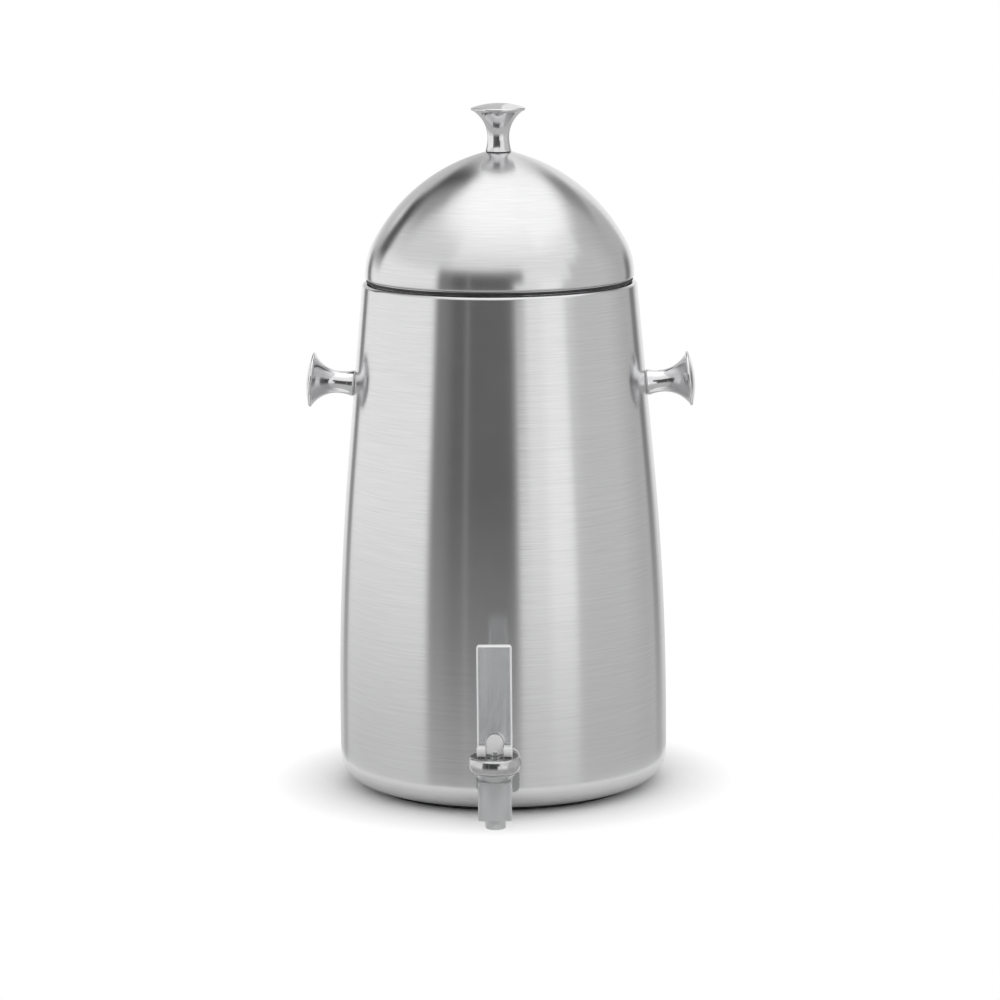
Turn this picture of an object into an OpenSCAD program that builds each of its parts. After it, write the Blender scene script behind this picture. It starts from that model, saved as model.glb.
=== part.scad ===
// Insulated coffee urn: a tapering steel body with a lift-off domed lid, two side knobs and a
// self-closing lever tap. Millimetres, +Z up. The origin is the middle of the foot ring, on the
// table. The tap points to -Y and the side knobs to +X and -X.

/* [Body] */
// Outer radius of the body near its base
base_r = 144; // [138:1:152]
// Height of the rim above the table
rim_z = 443; // [415:1:475]
// Height at which the wall begins to lean in
belly_z = 60; // [50:1:80]
// Height at which the lean becomes straight
taper_z = 285; // [250:1:320]
// Lean of the straight upper wall, in degrees
taper_deg = 5.2; // [4:0.1:6]
// Thickness of the outer sheet
shell_t = 1; // [0.8:0.1:1.3]
// Outer radius of the corner under the body
base_corner_r = 23; // [19:1:26]
// Outer radius of the rolled rim
rim_roll_r = 3; // [2:0.5:4]
// Width of the lip that is turned in under the body
base_lip_w = 29; // [26:1:34]

/* [Base] */
// Height of the foot ring
foot_h = 3; // [2.5:0.5:5]
// Width of the foot ring
foot_w = 12; // [8:1:14]
// Thickness of the base plate
plate_t = 1; // [0.8:0.1:1.6]
// Step from the edge of the body's flat bottom to the edge of the base plate
plate_step = 2.5; // [1.5:0.5:4]
// Step from the edge of the base plate to the foot ring
foot_step = 0.5; // [0:0.1:1]
// Number of base screws
base_screw_n = 6; // [4:1:8]
// Thread radius of the base screws
base_screw_r = 2; // [1.5:0.1:2.3]
// Length of the base screws under the head
base_screw_l = 7; // [5:0.5:9]
// Head radius of the base screws
base_head_r = 3.8; // [3:0.1:4.5]
// Head height of the base screws
base_head_h = 1.8; // [1.2:0.1:2.2]

/* [Vessel] */
// Gap between the outer sheet and the vessel, which the jacket fills
jacket_t = 14; // [12:0.5:17]
// Depth of the jacket under the vessel
floor_jacket_t = 13; // [11:0.5:16]
// Thickness of the vessel's sheet
vessel_t = 1; // [0.8:0.1:1.3]
// Outer radius of the corner under the vessel
vessel_corner_r = 12; // [8:1:14]
// Width of the flange by which the vessel hangs on the rim
vessel_flange_w = 9; // [7:0.5:10.5]

/* [Lid] */
// Step from the rim in to the lid's edge
lid_step = 2.6; // [1:0.1:5]
// Height of the dome from its hem to the knob's seat
dome_h = 108.3; // [100:0.1:116]
// Radius of the dome's shoulder arc
shoulder_r = 63.6; // [56:0.1:70]
// Radius of the dome's crown arc
crown_r = 154; // [146:1:166]
// Thickness of the dome's sheet
dome_t = 1; // [0.8:0.1:1.3]
// Outer radius of the dome's hem corner
hem_r = 1.6; // [1.4:0.1:2.5]
// Width of the dome's flat hem
hem_w = 8; // [5:0.5:11]
// Thickness of the liner's sheet
liner_t = 0.8; // [0.6:0.1:1.2]
// Step from the lid's edge in to the liner's flange
liner_step = 2; // [1:0.5:4]
// Depth of the plug that hangs in the vessel's mouth
plug_depth = 18; // [12:1:26]
// Corner radius of the plug
plug_corner_r = 4; // [2:0.5:7]
// Room between the plug and the vessel's mouth
plug_gap = 3.5; // [2:0.5:6]
// Thickness of the lid gasket
gasket_t = 2.2; // [1.6:0.1:3.5]
// Step from the vessel's mouth out to the lid gasket
gasket_step = 1.2; // [0.5:0.1:2.5]
// Step from the liner's flange out to the gasket's edge
gasket_lip = 0.8; // [0.2:0.1:1.5]

/* [Knobs] */
// Height of a knob over its foot
knob_h = 41.5; // [39.5:0.5:48]
// Radius of a knob's foot
knob_foot_r = 11.5; // [10.5:0.1:13]
// Radius of a knob's neck
knob_neck_r = 9.5; // [8:0.1:10.3]
// Height of the neck's thinnest place
knob_neck_z = 12; // [9:0.5:15]
// Radius of a knob's flange
knob_flange_r = 23.8; // [21:0.1:27]
// Height of the flange's edge
knob_edge_z = 36.5; // [32:0.5:38]
// Radius of the flange's rounded edge
knob_edge_r = 1.4; // [0.6:0.1:1.8]
// Least thickness of the washers under the knobs
washer_t = 0.8; // [0.5:0.1:1.5]
// Step from a knob's foot in to its washer's edge
washer_step = 1; // [0.2:0.1:2]
// Step from a knob's foot out to the edge of the flat on the dome
seat_step = 1.5; // [0.4:0.1:2]
// Depth of the side knobs' axes under the rim
handle_drop = 89; // [70:1:110]
// Thread radius of the knob screws
knob_screw_r = 3; // [2.5:0.5:4]
// Depth of thread in a knob
knob_thread = 14; // [10:1:20]
// Head radius of the knob screws
knob_head_r = 5; // [4.5:0.1:6]
// Head height of the knob screws
knob_head_h = 4; // [3:0.5:5]
// Radius of the backing plates behind the side knobs
backing_r = 15; // [10:0.5:18]
// Thickness of the backing plates at their middle
backing_t = 2.5; // [2:0.1:3.5]
// Radius of the washer under the lid knob's screw
lid_backing_r = 9; // [7:0.5:11]
// Thickness of the washer under the lid knob's screw
lid_backing_t = 1.2; // [0.8:0.1:2]

/* [Tap] */
// Reach from the body's wall to the valve's axis
tap_reach = 66; // [58:1:76]
// Height of the shank's axis above the vessel's floor
shank_over_floor = 23; // [22:0.5:27]
// Radius of the threaded shank
shank_r = 11; // [10:0.5:12]
// Radius of the bore through the shank
inlet_r = 7.5; // [6:0.5:8]
// Radius of the barrel between the spout and the flange
barrel_r = 11.5; // [9:0.5:12]
// Width of the square flange against the body
flange_w = 37; // [33:1:38]
// Corner radius of the square flange
flange_corner_r = 6; // [3:0.5:9]
// Thickness of the square flange
flange_t = 4; // [3:0.5:6]
// Least thickness of the gasket behind the flange
tap_gasket_t = 2; // [1.5:0.1:3]
// Radius of the washer inside the vessel
inner_washer_r = 17; // [15:0.5:18]
// Least thickness of the washer inside the vessel
inner_washer_t = 2; // [1.5:0.1:3]
// Width across the flats of the shank's nut
nut_af = 32; // [28:1:34]
// Height of the shank's nut
nut_h = 9; // [6:0.5:11]
// Length of the shank that shows past its nut
shank_end = 3; // [1:0.5:6]
// Wall of the ferrule through the body
ferrule_t = 2; // [1:0.1:3]
// Width of the square spout
spout_w = 28; // [27:0.5:31]
// Corner radius of the square spout
spout_corner_r = 2; // [1:0.5:4]
// Height of the spout's top over the shank's axis
spout_up = 8; // [6:0.5:10]
// Depth of the spout's bottom under the shank's axis
spout_down = 24.5; // [22:0.5:28]
// Radius of the nozzle
nozzle_r = 8.9; // [8:0.1:10.5]
// Length of the nozzle
nozzle_l = 9; // [6:0.5:11]
// Radius of the nozzle's rounded end
nozzle_edge_r = 1.2; // [0.6:0.1:1.8]
// Radius of the outlet bore
outlet_r = 6; // [5:0.1:6.4]
// Radius of the valve chamber
chamber_r = 11; // [10.6:0.1:11.8]
// Depth of the valve seat under the shank's axis
seat_down = 11; // [9:0.5:13]
// Radius of the collar under the bonnet
collar_r = 18; // [17.2:0.1:19]
// Height of the collar
collar_h = 8; // [6:0.5:10]
// Height of the collar's straight top
collar_band = 2; // [1:0.5:4]
// Radius of the threaded neck inside the bonnet
neck_r = 16.5; // [15.5:0.1:17]
// Height of the threaded neck
neck_h = 5.5; // [4:0.5:8]
// Outer radius of the bonnet
bonnet_r = 22.3; // [21:0.1:24]
// Radius of the bulge up the bonnet's side
bonnet_bulge_r = 24; // [20:1:30]
// Slope of the bonnet's side under its upper edge, in degrees
bonnet_slope = 14; // [8:1:16]
// Radius of the bonnet's upper edge
bonnet_top_r = 2.5; // [1.5:0.5:4]
// Radius of the bonnet's lower edge
bonnet_low_r = 1.2; // [0.8:0.1:2]
// Thickness of the bonnet's crown
bonnet_crown = 5; // [4:0.5:7]

/* [Valve and lever] */
// Lift of the valve when the lever is right down
stem_lift = 5; // [3:0.5:6]
// Angle that the lever tips forward, in degrees
lever_throw = 60; // [45:1:65]
// Height of the lever's pin over the bonnet
pin_up = 10; // [9:0.5:12]
// Radius of the lever's pin
pin_r = 2; // [1.5:0.1:2.5]
// Width of the lever
lever_w = 29.4; // [27:0.1:33]
// Thickness of the lever
lever_t = 8; // [7:0.5:10]
// Height of the lever over its pin
lever_up = 84.5; // [65:0.5:95]
// Corner radius at the lever's top
lever_corner_r = 1.5; // [0.5:0.5:4]
// Width of the stem's tongue
tongue_w = 14.3; // [12:0.1:16]
// Thickness of the stem's tongue
tongue_t = 7; // [6:0.5:9]
// Height of the tongue's round top over the pin
tongue_up = 9; // [8:0.5:11]
// Room over the tongue's round top in the lever's slot
slot_room = 1.5; // [1:0.1:3]
// Height of the tongue's bottom over the bonnet
tongue_gap = 2; // [1:0.1:3]
// Step from the end of the lever's pin in from the lever's side
pin_step = 0.5; // [0:0.1:1.5]
// Radius of the stem
stem_r = 4; // [3:0.1:4.4]
// Radius of the stem's foot
stem_foot_r = 6.5; // [6:0.1:6.8]
// Thickness of the stem's foot
stem_foot_t = 3; // [2:0.5:4]
// Outer radius of the seat cup
cup_r = 8.5; // [8.2:0.1:9]
// Wall of the seat cup
cup_t = 1.1; // [0.8:0.1:1.3]
// Thickness of the seat cup's bottom
cup_floor = 2; // [1.5:0.1:3]
// Depth of the seat cup's tip in the outlet
cup_tip = 2; // [1:0.1:3]
// Thickness of the seat cup's clamped flange
cup_flange_t = 1.5; // [1:0.1:2.5]
// Wire diameter of the spring
spring_wire = 1.2; // [0.8:0.1:1.4]
// Number of turns of the spring
spring_turns = 7; // [5:0.5:8]

/* [Clearances] */
// Radial room around a screw or shank that passes a hole
hole_gap = 0.3; // [0.1:0.05:0.6]
// Radial room in a thread
thread_gap = 0.05; // [0.02:0.01:0.1]
// Radial room of a part that slides or turns
run_gap = 0.06; // [0.03:0.01:0.1]
// Room between the lever's cams and the bonnet
cam_gap = 0.3; // [0.2:0.05:0.5]
// Room at each side of the tongue in the lever's slot
slot_gap = 0.35; // [0.2:0.05:0.6]
// Room around the jacket
jacket_gap = 0.2; // [0.1:0.05:0.5]
// Room at faces that are shaped to a curved wall
face_gap = 0.2; // [0.1:0.05:0.4]
// Room between the vessel and the rim's lip
lip_gap = 0.5; // [0.2:0.1:1]
// Room around screw heads and plates in the jacket
pocket_gap = 1; // [0.5:0.1:2]
// Room around the seat cup in the bonnet and in the outlet
cup_gap = 0.35; // [0.1:0.05:0.6]
// Room at each end of the spring
spring_gap = 0.1; // [0.05:0.05:0.3]
// Room at the weld around the vessel's floor
weld_gap = 0.05; // [0.02:0.01:0.2]

/* [Hidden] */

$fn = 64;
steel = "silver";
polished = "gainsboro";
clear = [0.85, 0.9, 0.92, 0.6];
black = [0.08, 0.08, 0.08];
silicone = "whitesmoke";
foam = "khaki";
// How far cutting shapes run past what they cut
over = 1;
// Straight steps in the body's long curve, in a corner and in a dome's arc
wall_steps = 9;
corner_steps = 8;
dome_steps = 12;
// Facets around the shapes that washers and gaskets are fitted to
wall_fn = 240;

// Heights of the stack from the table up
shell_z = foot_h + plate_t;
corner_z = shell_z + base_corner_r;
vessel_z = shell_z + shell_t + floor_jacket_t;
vessel_floor_z = vessel_z + vessel_t;
mouth_z = rim_z + vessel_t;
lid_z = mouth_z + gasket_t;
hem_z = lid_z + liner_t;
dome_z = hem_z + dome_h;
lid_knob_z = dome_z + washer_t;

// The body's outer wall: upright, then a long arc, then a straight lean
bend_r = (taper_z - belly_z) / sin(taper_deg);
wall_stations = [for (i = [0 : wall_steps]) belly_z + (taper_z - belly_z) * i / wall_steps];
function wall_r(z) =
    z <= belly_z ? base_r
    : z <= taper_z ? base_r - bend_r + sqrt(pow(bend_r, 2) - pow(z - belly_z, 2))
    : base_r - bend_r * (1 - cos(taper_deg)) - (z - taper_z) * tan(taper_deg);

// Points up the wall between two heights, set in from its outside
function wall_line(z0, z1, inset) = concat(
    [[wall_r(z0) - inset, z0]],
    [for (z = wall_stations) if (z > z0 && z < z1) [wall_r(z) - inset, z]],
    [[wall_r(z1) - inset, z1]]
);

// Points along an arc around (x, y), from angle a0 to a1
function arc(x, y, r, a0, a1, steps = corner_steps) = [
    for (i = [0 : steps])
        let (a = a0 + (a1 - a0) * i / steps) [x + r * cos(a), y + r * sin(a)]
];
function reversed(points) = [for (i = [len(points) - 1 : -1 : 0]) points[i]];

// Where the wall runs into the rolled rim
roll_z = rim_z - rim_roll_r;
roll_start_z = roll_z + rim_roll_r * sin(taper_deg);
rim_r = wall_r(roll_start_z);
roll_r = rim_r - rim_roll_r * cos(taper_deg);

// Radii under the body
flat_r = base_r - base_corner_r;
base_lip_r = flat_r - base_lip_w;
plate_r = flat_r - plate_step;
foot_r = plate_r - foot_step;
base_screw_circle = (base_lip_r + foot_r - foot_w) / 2;

// Radii of the vessel and the lid
vessel_inset = shell_t + jacket_t;
vessel_flat_r = wall_r(vessel_z + vessel_corner_r) - vessel_inset - vessel_corner_r;
rim_lip_r = wall_r(rim_z) - vessel_inset + lip_gap;
vessel_flange_r = wall_r(rim_z) - vessel_inset + vessel_flange_w;
mouth_r = wall_r(rim_z) - vessel_inset - vessel_t;
lid_r = rim_r - lid_step;
liner_flange_r = lid_r - liner_step;
plug_r = mouth_r - plug_gap;
washer_r = knob_foot_r - washer_step;
seat_r = knob_foot_r + seat_step;

// The dome's crown arc touches its shoulder arc and passes the edge of the knob's seat
shoulder_c = [lid_r - shoulder_r, hem_z + hem_r];
seat_from_c = [seat_r, dome_z] - shoulder_c;
crown_reach = (pow(crown_r, 2) - pow(crown_r - shoulder_r, 2) - seat_from_c * seat_from_c)
    / (2 * (crown_r - shoulder_r));
dome_turn = atan2(seat_from_c[1], seat_from_c[0]) - acos(crown_reach / norm(seat_from_c));
crown_c = shoulder_c - (crown_r - shoulder_r) * [cos(dome_turn), sin(dome_turn)];
function crown_angle(z, inset) = asin((z - crown_c[1]) / (crown_r - inset));

// Side knobs stand square to the wall
handle_z = rim_z - handle_drop;
handle_r = wall_r(handle_z);
handle_stack = washer_t + shell_t + backing_t;
lid_stack = washer_t + dome_t + lid_backing_t;

// Places along the tap's shank, as distances from the urn's axis
stem_y = base_r + tap_reach;
flange_y = base_r + tap_gasket_t;
shank_z = vessel_floor_z + shank_over_floor;
vessel_in_r = wall_r(shank_z) - vessel_inset - vessel_t;
inner_seat_y = sqrt(pow(vessel_in_r, 2) - pow(inner_washer_r, 2)) - inner_washer_t;
shank_in_y = inner_seat_y - nut_h - shank_end;
ferrule_in_r = shank_r + hole_gap;

// Heights up the valve's axis
spout_top_z = shank_z + spout_up;
spout_low_z = shank_z - spout_down;
nozzle_z = spout_low_z - nozzle_l;
seat_z = shank_z - seat_down;
bonnet_z = spout_top_z + collar_h;
neck_top_z = bonnet_z + neck_h;
ledge_z = neck_top_z + cup_flange_t;
bonnet_top_z = ledge_z + bonnet_crown;
pin_z = bonnet_top_z + pin_up;
stem_foot_z = seat_z + cup_floor;
stem_foot_top_z = stem_foot_z + stem_foot_t;

// The lever's cams push the pin up by an even amount for each degree
cam_rise = stem_lift * 180 / (PI * lever_throw);
cam_low = pin_up - cam_gap;
cam_step = 5;
function cam_point(a) =
    let (reach = cam_low + cam_rise * a * PI / 180)
    [-reach * sin(a) - cam_rise * cos(a), -reach * cos(a) + cam_rise * sin(a)];
slot_half = tongue_w / 2 + slot_gap;

// The spring is a helix around the stem, inside the seat cup
spring_mean_r = (stem_r + cup_r - cup_t) / 2;
spring_low_z = stem_foot_top_z + spring_gap + spring_wire / 2;
spring_high_z = ledge_z - spring_gap - spring_wire / 2;
spring_rings = 8;
spring_sides = 6;
spring_count = spring_turns * spring_rings;
function spring_point(i) =
    let (a = 360 * i / spring_rings)
    [spring_mean_r * cos(a), spring_mean_r * sin(a),
        spring_low_z + (spring_high_z - spring_low_z) * i / spring_count];
// Each end runs straight on for one wire diameter
function spring_end(i, way) =
    let (a = 360 * i / spring_rings)
    spring_point(i) + way * spring_wire * [-sin(a), cos(a), 0];
spring_path = concat(
    [spring_end(0, -1)],
    [for (i = [0 : spring_count]) spring_point(i)],
    [spring_end(spring_count, 1)]
);
spring_gaps = [
    for (i = [0 : spring_count], j = [i + spring_rings / 2 : spring_count])
        norm(spring_point(i) - spring_point(j)) - spring_wire
];

// Solid inside the body's outer wall, set in by a distance
module wall_solid(inset) {
    rotate_extrude($fn = wall_fn)
        polygon(concat(
            [[0, shell_z + inset]],
            arc(flat_r, corner_z, base_corner_r - inset, -90, 0),
            wall_line(corner_z, roll_z, inset),
            [[0, roll_z]]
        ));
}

// Solid inside the vessel's outside, grown by a distance
module vessel_solid(grow) {
    rotate_extrude($fn = wall_fn)
        polygon(concat(
            [[0, vessel_z - grow]],
            vessel_line(vessel_inset - grow, vessel_corner_r + grow),
            [[0, rim_z]]
        ));
}

// Points around the vessel's bottom corner and up its wall
function vessel_line(inset, corner) =
    let (z = vessel_z + vessel_corner_r)
    concat(
        arc(vessel_flat_r, z, corner, -90, 0),
        wall_line(z, rim_z, inset)
    );

// Rod along the tap's shank between two distances from the urn's axis
module shank_rod(r, near, far) {
    translate([0, -near, shank_z])
        rotate([90, 0, 0])
            cylinder(r = r, h = far - near);
}

module rounded_square(w, r) {
    square([w - 2 * r, w], center = true);
    square([w, w - 2 * r], center = true);
    for (x = [-1, 1], y = [-1, 1])
        translate([x, y] * (w / 2 - r))
            circle(r = r);
}

// Puts its children at the valve's axis
module at_stem() {
    translate([0, -stem_y, 0])
        children();
}

// Puts its children on the wall at a side knob, with +Z out of the wall
module at_handle(side) {
    translate([side * handle_r, 0, handle_z])
        rotate([0, side * (90 - taper_deg), 0])
            children();
}

module outer_shell() {
    outside = concat(
        arc(flat_r, corner_z, base_corner_r, -90, 0),
        wall_line(corner_z, roll_z, 0),
        arc(roll_r, roll_z, rim_roll_r, taper_deg, 90)
    );
    inside = concat(
        arc(flat_r, corner_z, base_corner_r - shell_t, -90, 0),
        wall_line(corner_z, roll_z, shell_t),
        arc(roll_r, roll_z, rim_roll_r - shell_t, taper_deg, 90)
    );
    color(steel)
        difference() {
            rotate_extrude()
                polygon(concat(
                    [[base_lip_r, shell_z]],
                    outside,
                    [[rim_lip_r, rim_z], [rim_lip_r, rim_z - shell_t]],
                    reversed(inside),
                    [[base_lip_r, shell_z + shell_t]]
                ));
            shank_rod(shank_r + hole_gap, flat_r, base_r + over);
            for (side = [-1, 1])
                at_handle(side)
                    translate([0, 0, -handle_stack])
                        cylinder(r = knob_screw_r + hole_gap, h = 2 * handle_stack);
            at_base_screws()
                cylinder(r = base_screw_r + thread_gap, h = base_screw_l);
        }
}

module inner_vessel() {
    color(steel)
        difference() {
            rotate_extrude()
                polygon(concat(
                    vessel_line(vessel_inset, vessel_corner_r),
                    [[vessel_flange_r, rim_z], [vessel_flange_r, mouth_z], [mouth_r, mouth_z]],
                    reversed(vessel_line(vessel_inset + vessel_t, vessel_corner_r - vessel_t))
                ));
            shank_rod(shank_r + hole_gap, shank_in_y, base_r);
        }
}

// Disc welded into the vessel's wall
module vessel_floor() {
    color(steel)
        translate([0, 0, vessel_z])
            cylinder(r = vessel_flat_r - weld_gap, h = vessel_t);
}

module insulation_jacket() {
    color(foam)
        difference() {
            intersection() {
                wall_solid(shell_t + jacket_gap);
                translate([0, 0, shell_z + shell_t])
                    cylinder(r = base_r, h = rim_z);
            }
            vessel_solid(jacket_gap);
            shank_rod(ferrule_in_r + ferrule_t + jacket_gap, shank_in_y, base_r);
            for (side = [-1, 1])
                at_handle(side)
                    translate([0, 0, -handle_stack - knob_head_h - pocket_gap])
                        cylinder(r = backing_r + pocket_gap, h = 2 * handle_stack + knob_head_h);
            at_base_screws()
                cylinder(r = base_screw_r + pocket_gap, h = base_screw_l + pocket_gap);
        }
}

// Puts its children at each base screw, with +Z up from under its head
module at_base_screws() {
    for (i = [0 : base_screw_n - 1])
        rotate([0, 0, 360 * i / base_screw_n])
            translate([base_screw_circle, 0, foot_h])
                children();
}

module base_plate() {
    color(steel)
        difference() {
            translate([0, 0, foot_h])
                cylinder(r = plate_r, h = plate_t);
            at_base_screws()
                translate([0, 0, -over])
                    cylinder(r = base_screw_r + hole_gap, h = plate_t + 2 * over);
        }
}

module base_screws() {
    color(polished)
        at_base_screws() {
            translate([0, 0, -base_head_h])
                cylinder(r = base_head_r, h = base_head_h);
            cylinder(r = base_screw_r, h = base_screw_l);
        }
}

module foot_ring() {
    color(black)
        rotate_extrude()
            translate([foot_r - foot_w, 0])
                square([foot_w, foot_h]);
}

// Trumpet-shaped knob that stands on its foot, with a threaded hole in the foot
module knob() {
    edge_r = knob_flange_r - knob_edge_r;
    foot_out = knob_foot_r - knob_neck_r;
    foot_arc = (pow(knob_neck_z, 2) + pow(foot_out, 2)) / (2 * foot_out);
    flare_up = knob_edge_z - knob_edge_r - knob_neck_z;
    flare_out = edge_r - knob_neck_r;
    flare_arc = (pow(flare_up, 2) + pow(flare_out, 2)) / (2 * flare_out);
    cap_up = knob_h - knob_edge_z - knob_edge_r;
    cap_arc = (pow(edge_r, 2) + pow(cap_up, 2)) / (2 * cap_up);
    color(polished)
        difference() {
            rotate_extrude()
                polygon(concat(
                    [[0, 0]],
                    arc(knob_neck_r + foot_arc, knob_neck_z, foot_arc,
                        180 + asin(knob_neck_z / foot_arc), 180),
                    arc(knob_neck_r + flare_arc, knob_neck_z, flare_arc,
                        180, 180 - asin(flare_up / flare_arc), dome_steps),
                    arc(edge_r, knob_edge_z, knob_edge_r, -90, 90),
                    arc(0, knob_h - cap_arc, cap_arc, 90 - asin(edge_r / cap_arc), 90)
                ));
            translate([0, 0, -over])
                cylinder(r = knob_screw_r + thread_gap, h = knob_thread + 2 * over);
        }
}

// Screw for a knob: its origin is the knob's foot, and its head lies under what it clamps
module knob_screw(stack) {
    color(polished) {
        translate([0, 0, -stack - knob_head_h])
            cylinder(r = knob_head_r, h = knob_head_h);
        translate([0, 0, -stack])
            cylinder(r = knob_screw_r, h = stack + knob_thread);
    }
}

module handle_knob(side) {
    at_handle(side)
        translate([0, 0, washer_t])
            knob();
}

// Washer with one face flat for the knob and the other shaped to the wall
module handle_washer(side) {
    color(black)
        difference() {
            at_handle(side)
                difference() {
                    translate([0, 0, -backing_t])
                        cylinder(r = washer_r, h = backing_t + washer_t);
                    translate([0, 0, -backing_t - over])
                        cylinder(r = knob_screw_r + hole_gap, h = 2 * backing_t + washer_t);
                }
            wall_solid(-face_gap);
        }
}

module handle_backing_plate(side) {
    color(steel)
        intersection() {
            at_handle(side)
                translate([0, 0, -shell_t - backing_t])
                    difference() {
                        cylinder(r = backing_r, h = handle_stack);
                        translate([0, 0, -over])
                            cylinder(r = knob_screw_r + hole_gap, h = handle_stack + 2 * over);
                    }
            wall_solid(shell_t + face_gap);
        }
}

module handle_screw(side) {
    at_handle(side)
        translate([0, 0, washer_t])
            knob_screw(handle_stack);
}

module tap_ferrule() {
    color(steel)
        difference() {
            intersection() {
                shank_rod(ferrule_in_r + ferrule_t, shank_in_y, base_r);
                wall_solid(shell_t + face_gap);
            }
            shank_rod(ferrule_in_r, shank_in_y, base_r + over);
            vessel_solid(face_gap);
        }
}

module tap_outer_gasket() {
    color(silicone)
        difference() {
            translate([0, -flange_y, shank_z])
                rotate([-90, 0, 0])
                    linear_extrude(tap_gasket_t + base_corner_r)
                        rounded_square(flange_w, flange_corner_r);
            shank_rod(shank_r + hole_gap, flat_r, flange_y + over);
            wall_solid(-face_gap);
        }
}

module tap_inner_washer() {
    color(silicone)
        intersection() {
            difference() {
                shank_rod(inner_washer_r, inner_seat_y, base_r);
                shank_rod(shank_r + hole_gap, shank_in_y, base_r + over);
            }
            vessel_solid(-vessel_t - face_gap);
        }
}

module tap_nut() {
    nut_corner_r = nut_af / 2 / cos(30);
    color(clear)
        difference() {
            translate([0, -inner_seat_y + nut_h, shank_z])
                rotate([90, 0, 0])
                    cylinder(r = nut_corner_r, h = nut_h, $fn = 6);
            shank_rod(shank_r + thread_gap, shank_in_y - over, base_r);
        }
}

module tap_body() {
    color(clear)
        difference() {
            union() {
                at_stem() {
                    translate([0, 0, spout_low_z])
                        linear_extrude(spout_top_z - spout_low_z)
                            rounded_square(spout_w, spout_corner_r);
                    rotate_extrude()
                        polygon(concat(
                            [[0, nozzle_z]],
                            arc(nozzle_r - nozzle_edge_r, nozzle_z + nozzle_edge_r,
                                nozzle_edge_r, -90, 0),
                            [
                                [nozzle_r, spout_low_z + over],
                                [spout_w / 2, spout_top_z - over],
                                [spout_w / 2, spout_top_z],
                                [collar_r, bonnet_z - collar_band],
                                [collar_r, bonnet_z],
                                [neck_r, bonnet_z],
                                [neck_r, neck_top_z],
                                [0, neck_top_z]
                            ]
                        ));
                }
                shank_rod(barrel_r, flange_y, stem_y);
                translate([0, -flange_y, shank_z])
                    rotate([90, 0, 0])
                        linear_extrude(flange_t)
                            rounded_square(flange_w, flange_corner_r);
                shank_rod(shank_r, shank_in_y, flange_y + over);
            }
            at_stem() {
                translate([0, 0, seat_z])
                    cylinder(r = chamber_r, h = neck_top_z - seat_z + over);
                translate([0, 0, nozzle_z - over])
                    cylinder(r = outlet_r, h = seat_z - nozzle_z + 2 * over);
            }
            shank_rod(inlet_r, shank_in_y - over, stem_y);
        }
}

module tap_bonnet() {
    bore_r = neck_r + thread_gap;
    hole_r = stem_r + run_gap;
    // The bulge meets both rounded edges without a corner
    bulge_x = bonnet_r - bonnet_bulge_r;
    top_z = bonnet_top_z - bonnet_top_r;
    low_z = bonnet_z + bonnet_low_r;
    bulge_z = top_z - (bonnet_bulge_r - bonnet_top_r) * sin(bonnet_slope);
    low_turn = asin((bulge_z - low_z) / (bonnet_bulge_r - bonnet_low_r));
    color(polished)
        at_stem()
            rotate_extrude()
                polygon(concat(
                    [[bore_r, bonnet_z]],
                    arc(bulge_x + (bonnet_bulge_r - bonnet_low_r) * cos(low_turn), low_z,
                        bonnet_low_r, -90, -low_turn),
                    arc(bulge_x, bulge_z, bonnet_bulge_r, -low_turn, bonnet_slope),
                    arc(bulge_x + (bonnet_bulge_r - bonnet_top_r) * cos(bonnet_slope), top_z,
                        bonnet_top_r, bonnet_slope, 90),
                    [[hole_r, bonnet_top_z], [hole_r, ledge_z], [bore_r, ledge_z]]
                ));
}

module seat_cup() {
    tip_r = outlet_r - cup_gap;
    cup_in_r = cup_r - cup_t;
    // The wall flares out to its flange below the neck's top
    flare_z = neck_top_z - cup_flange_t;
    flare_r = chamber_r - cup_gap;
    color(silicone)
        at_stem()
            rotate_extrude()
                polygon([
                    [0, seat_z - cup_tip],
                    [tip_r - cup_t, seat_z - cup_tip],
                    [tip_r, seat_z],
                    [cup_r, seat_z],
                    [cup_r, flare_z - cup_flange_t],
                    [flare_r, flare_z],
                    [flare_r, neck_top_z],
                    [neck_r - cup_gap, neck_top_z],
                    [neck_r - cup_gap, ledge_z],
                    [flare_r - cup_t, ledge_z],
                    [flare_r - cup_t, flare_z],
                    [cup_in_r, flare_z - cup_flange_t],
                    [cup_in_r, stem_foot_z],
                    [0, stem_foot_z]
                ]);
}

module tap_spring() {
    last = len(spring_path) - 1;
    rings = [
        for (i = [0 : last])
            let (
                along = spring_path[min(i + 1, last)] - spring_path[max(i - 1, 0)],
                side = cross(along, [0, 0, 1]) / norm(cross(along, [0, 0, 1])),
                up = cross(side, along) / norm(along)
            )
            for (k = [0 : spring_sides - 1])
                let (a = 360 * k / spring_sides)
                spring_path[i] + spring_wire / 2 * (cos(a) * side + sin(a) * up)
    ];
    skin = [
        for (i = [0 : last - 1], k = [0 : spring_sides - 1])
            let (
                a = i * spring_sides + k,
                b = i * spring_sides + (k + 1) % spring_sides
            )
            each [[a, a + spring_sides, b], [b, a + spring_sides, b + spring_sides]]
    ];
    end = last * spring_sides;
    caps = [
        for (k = [1 : spring_sides - 2])
            each [[0, k, k + 1], [end, end + k + 1, end + k]]
    ];
    color(steel)
        at_stem()
            polyhedron(points = rings, faces = concat(skin, caps));
    echo(str("tap_spring: least gap between turns ", min(spring_gaps), " mm"));
}

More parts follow.
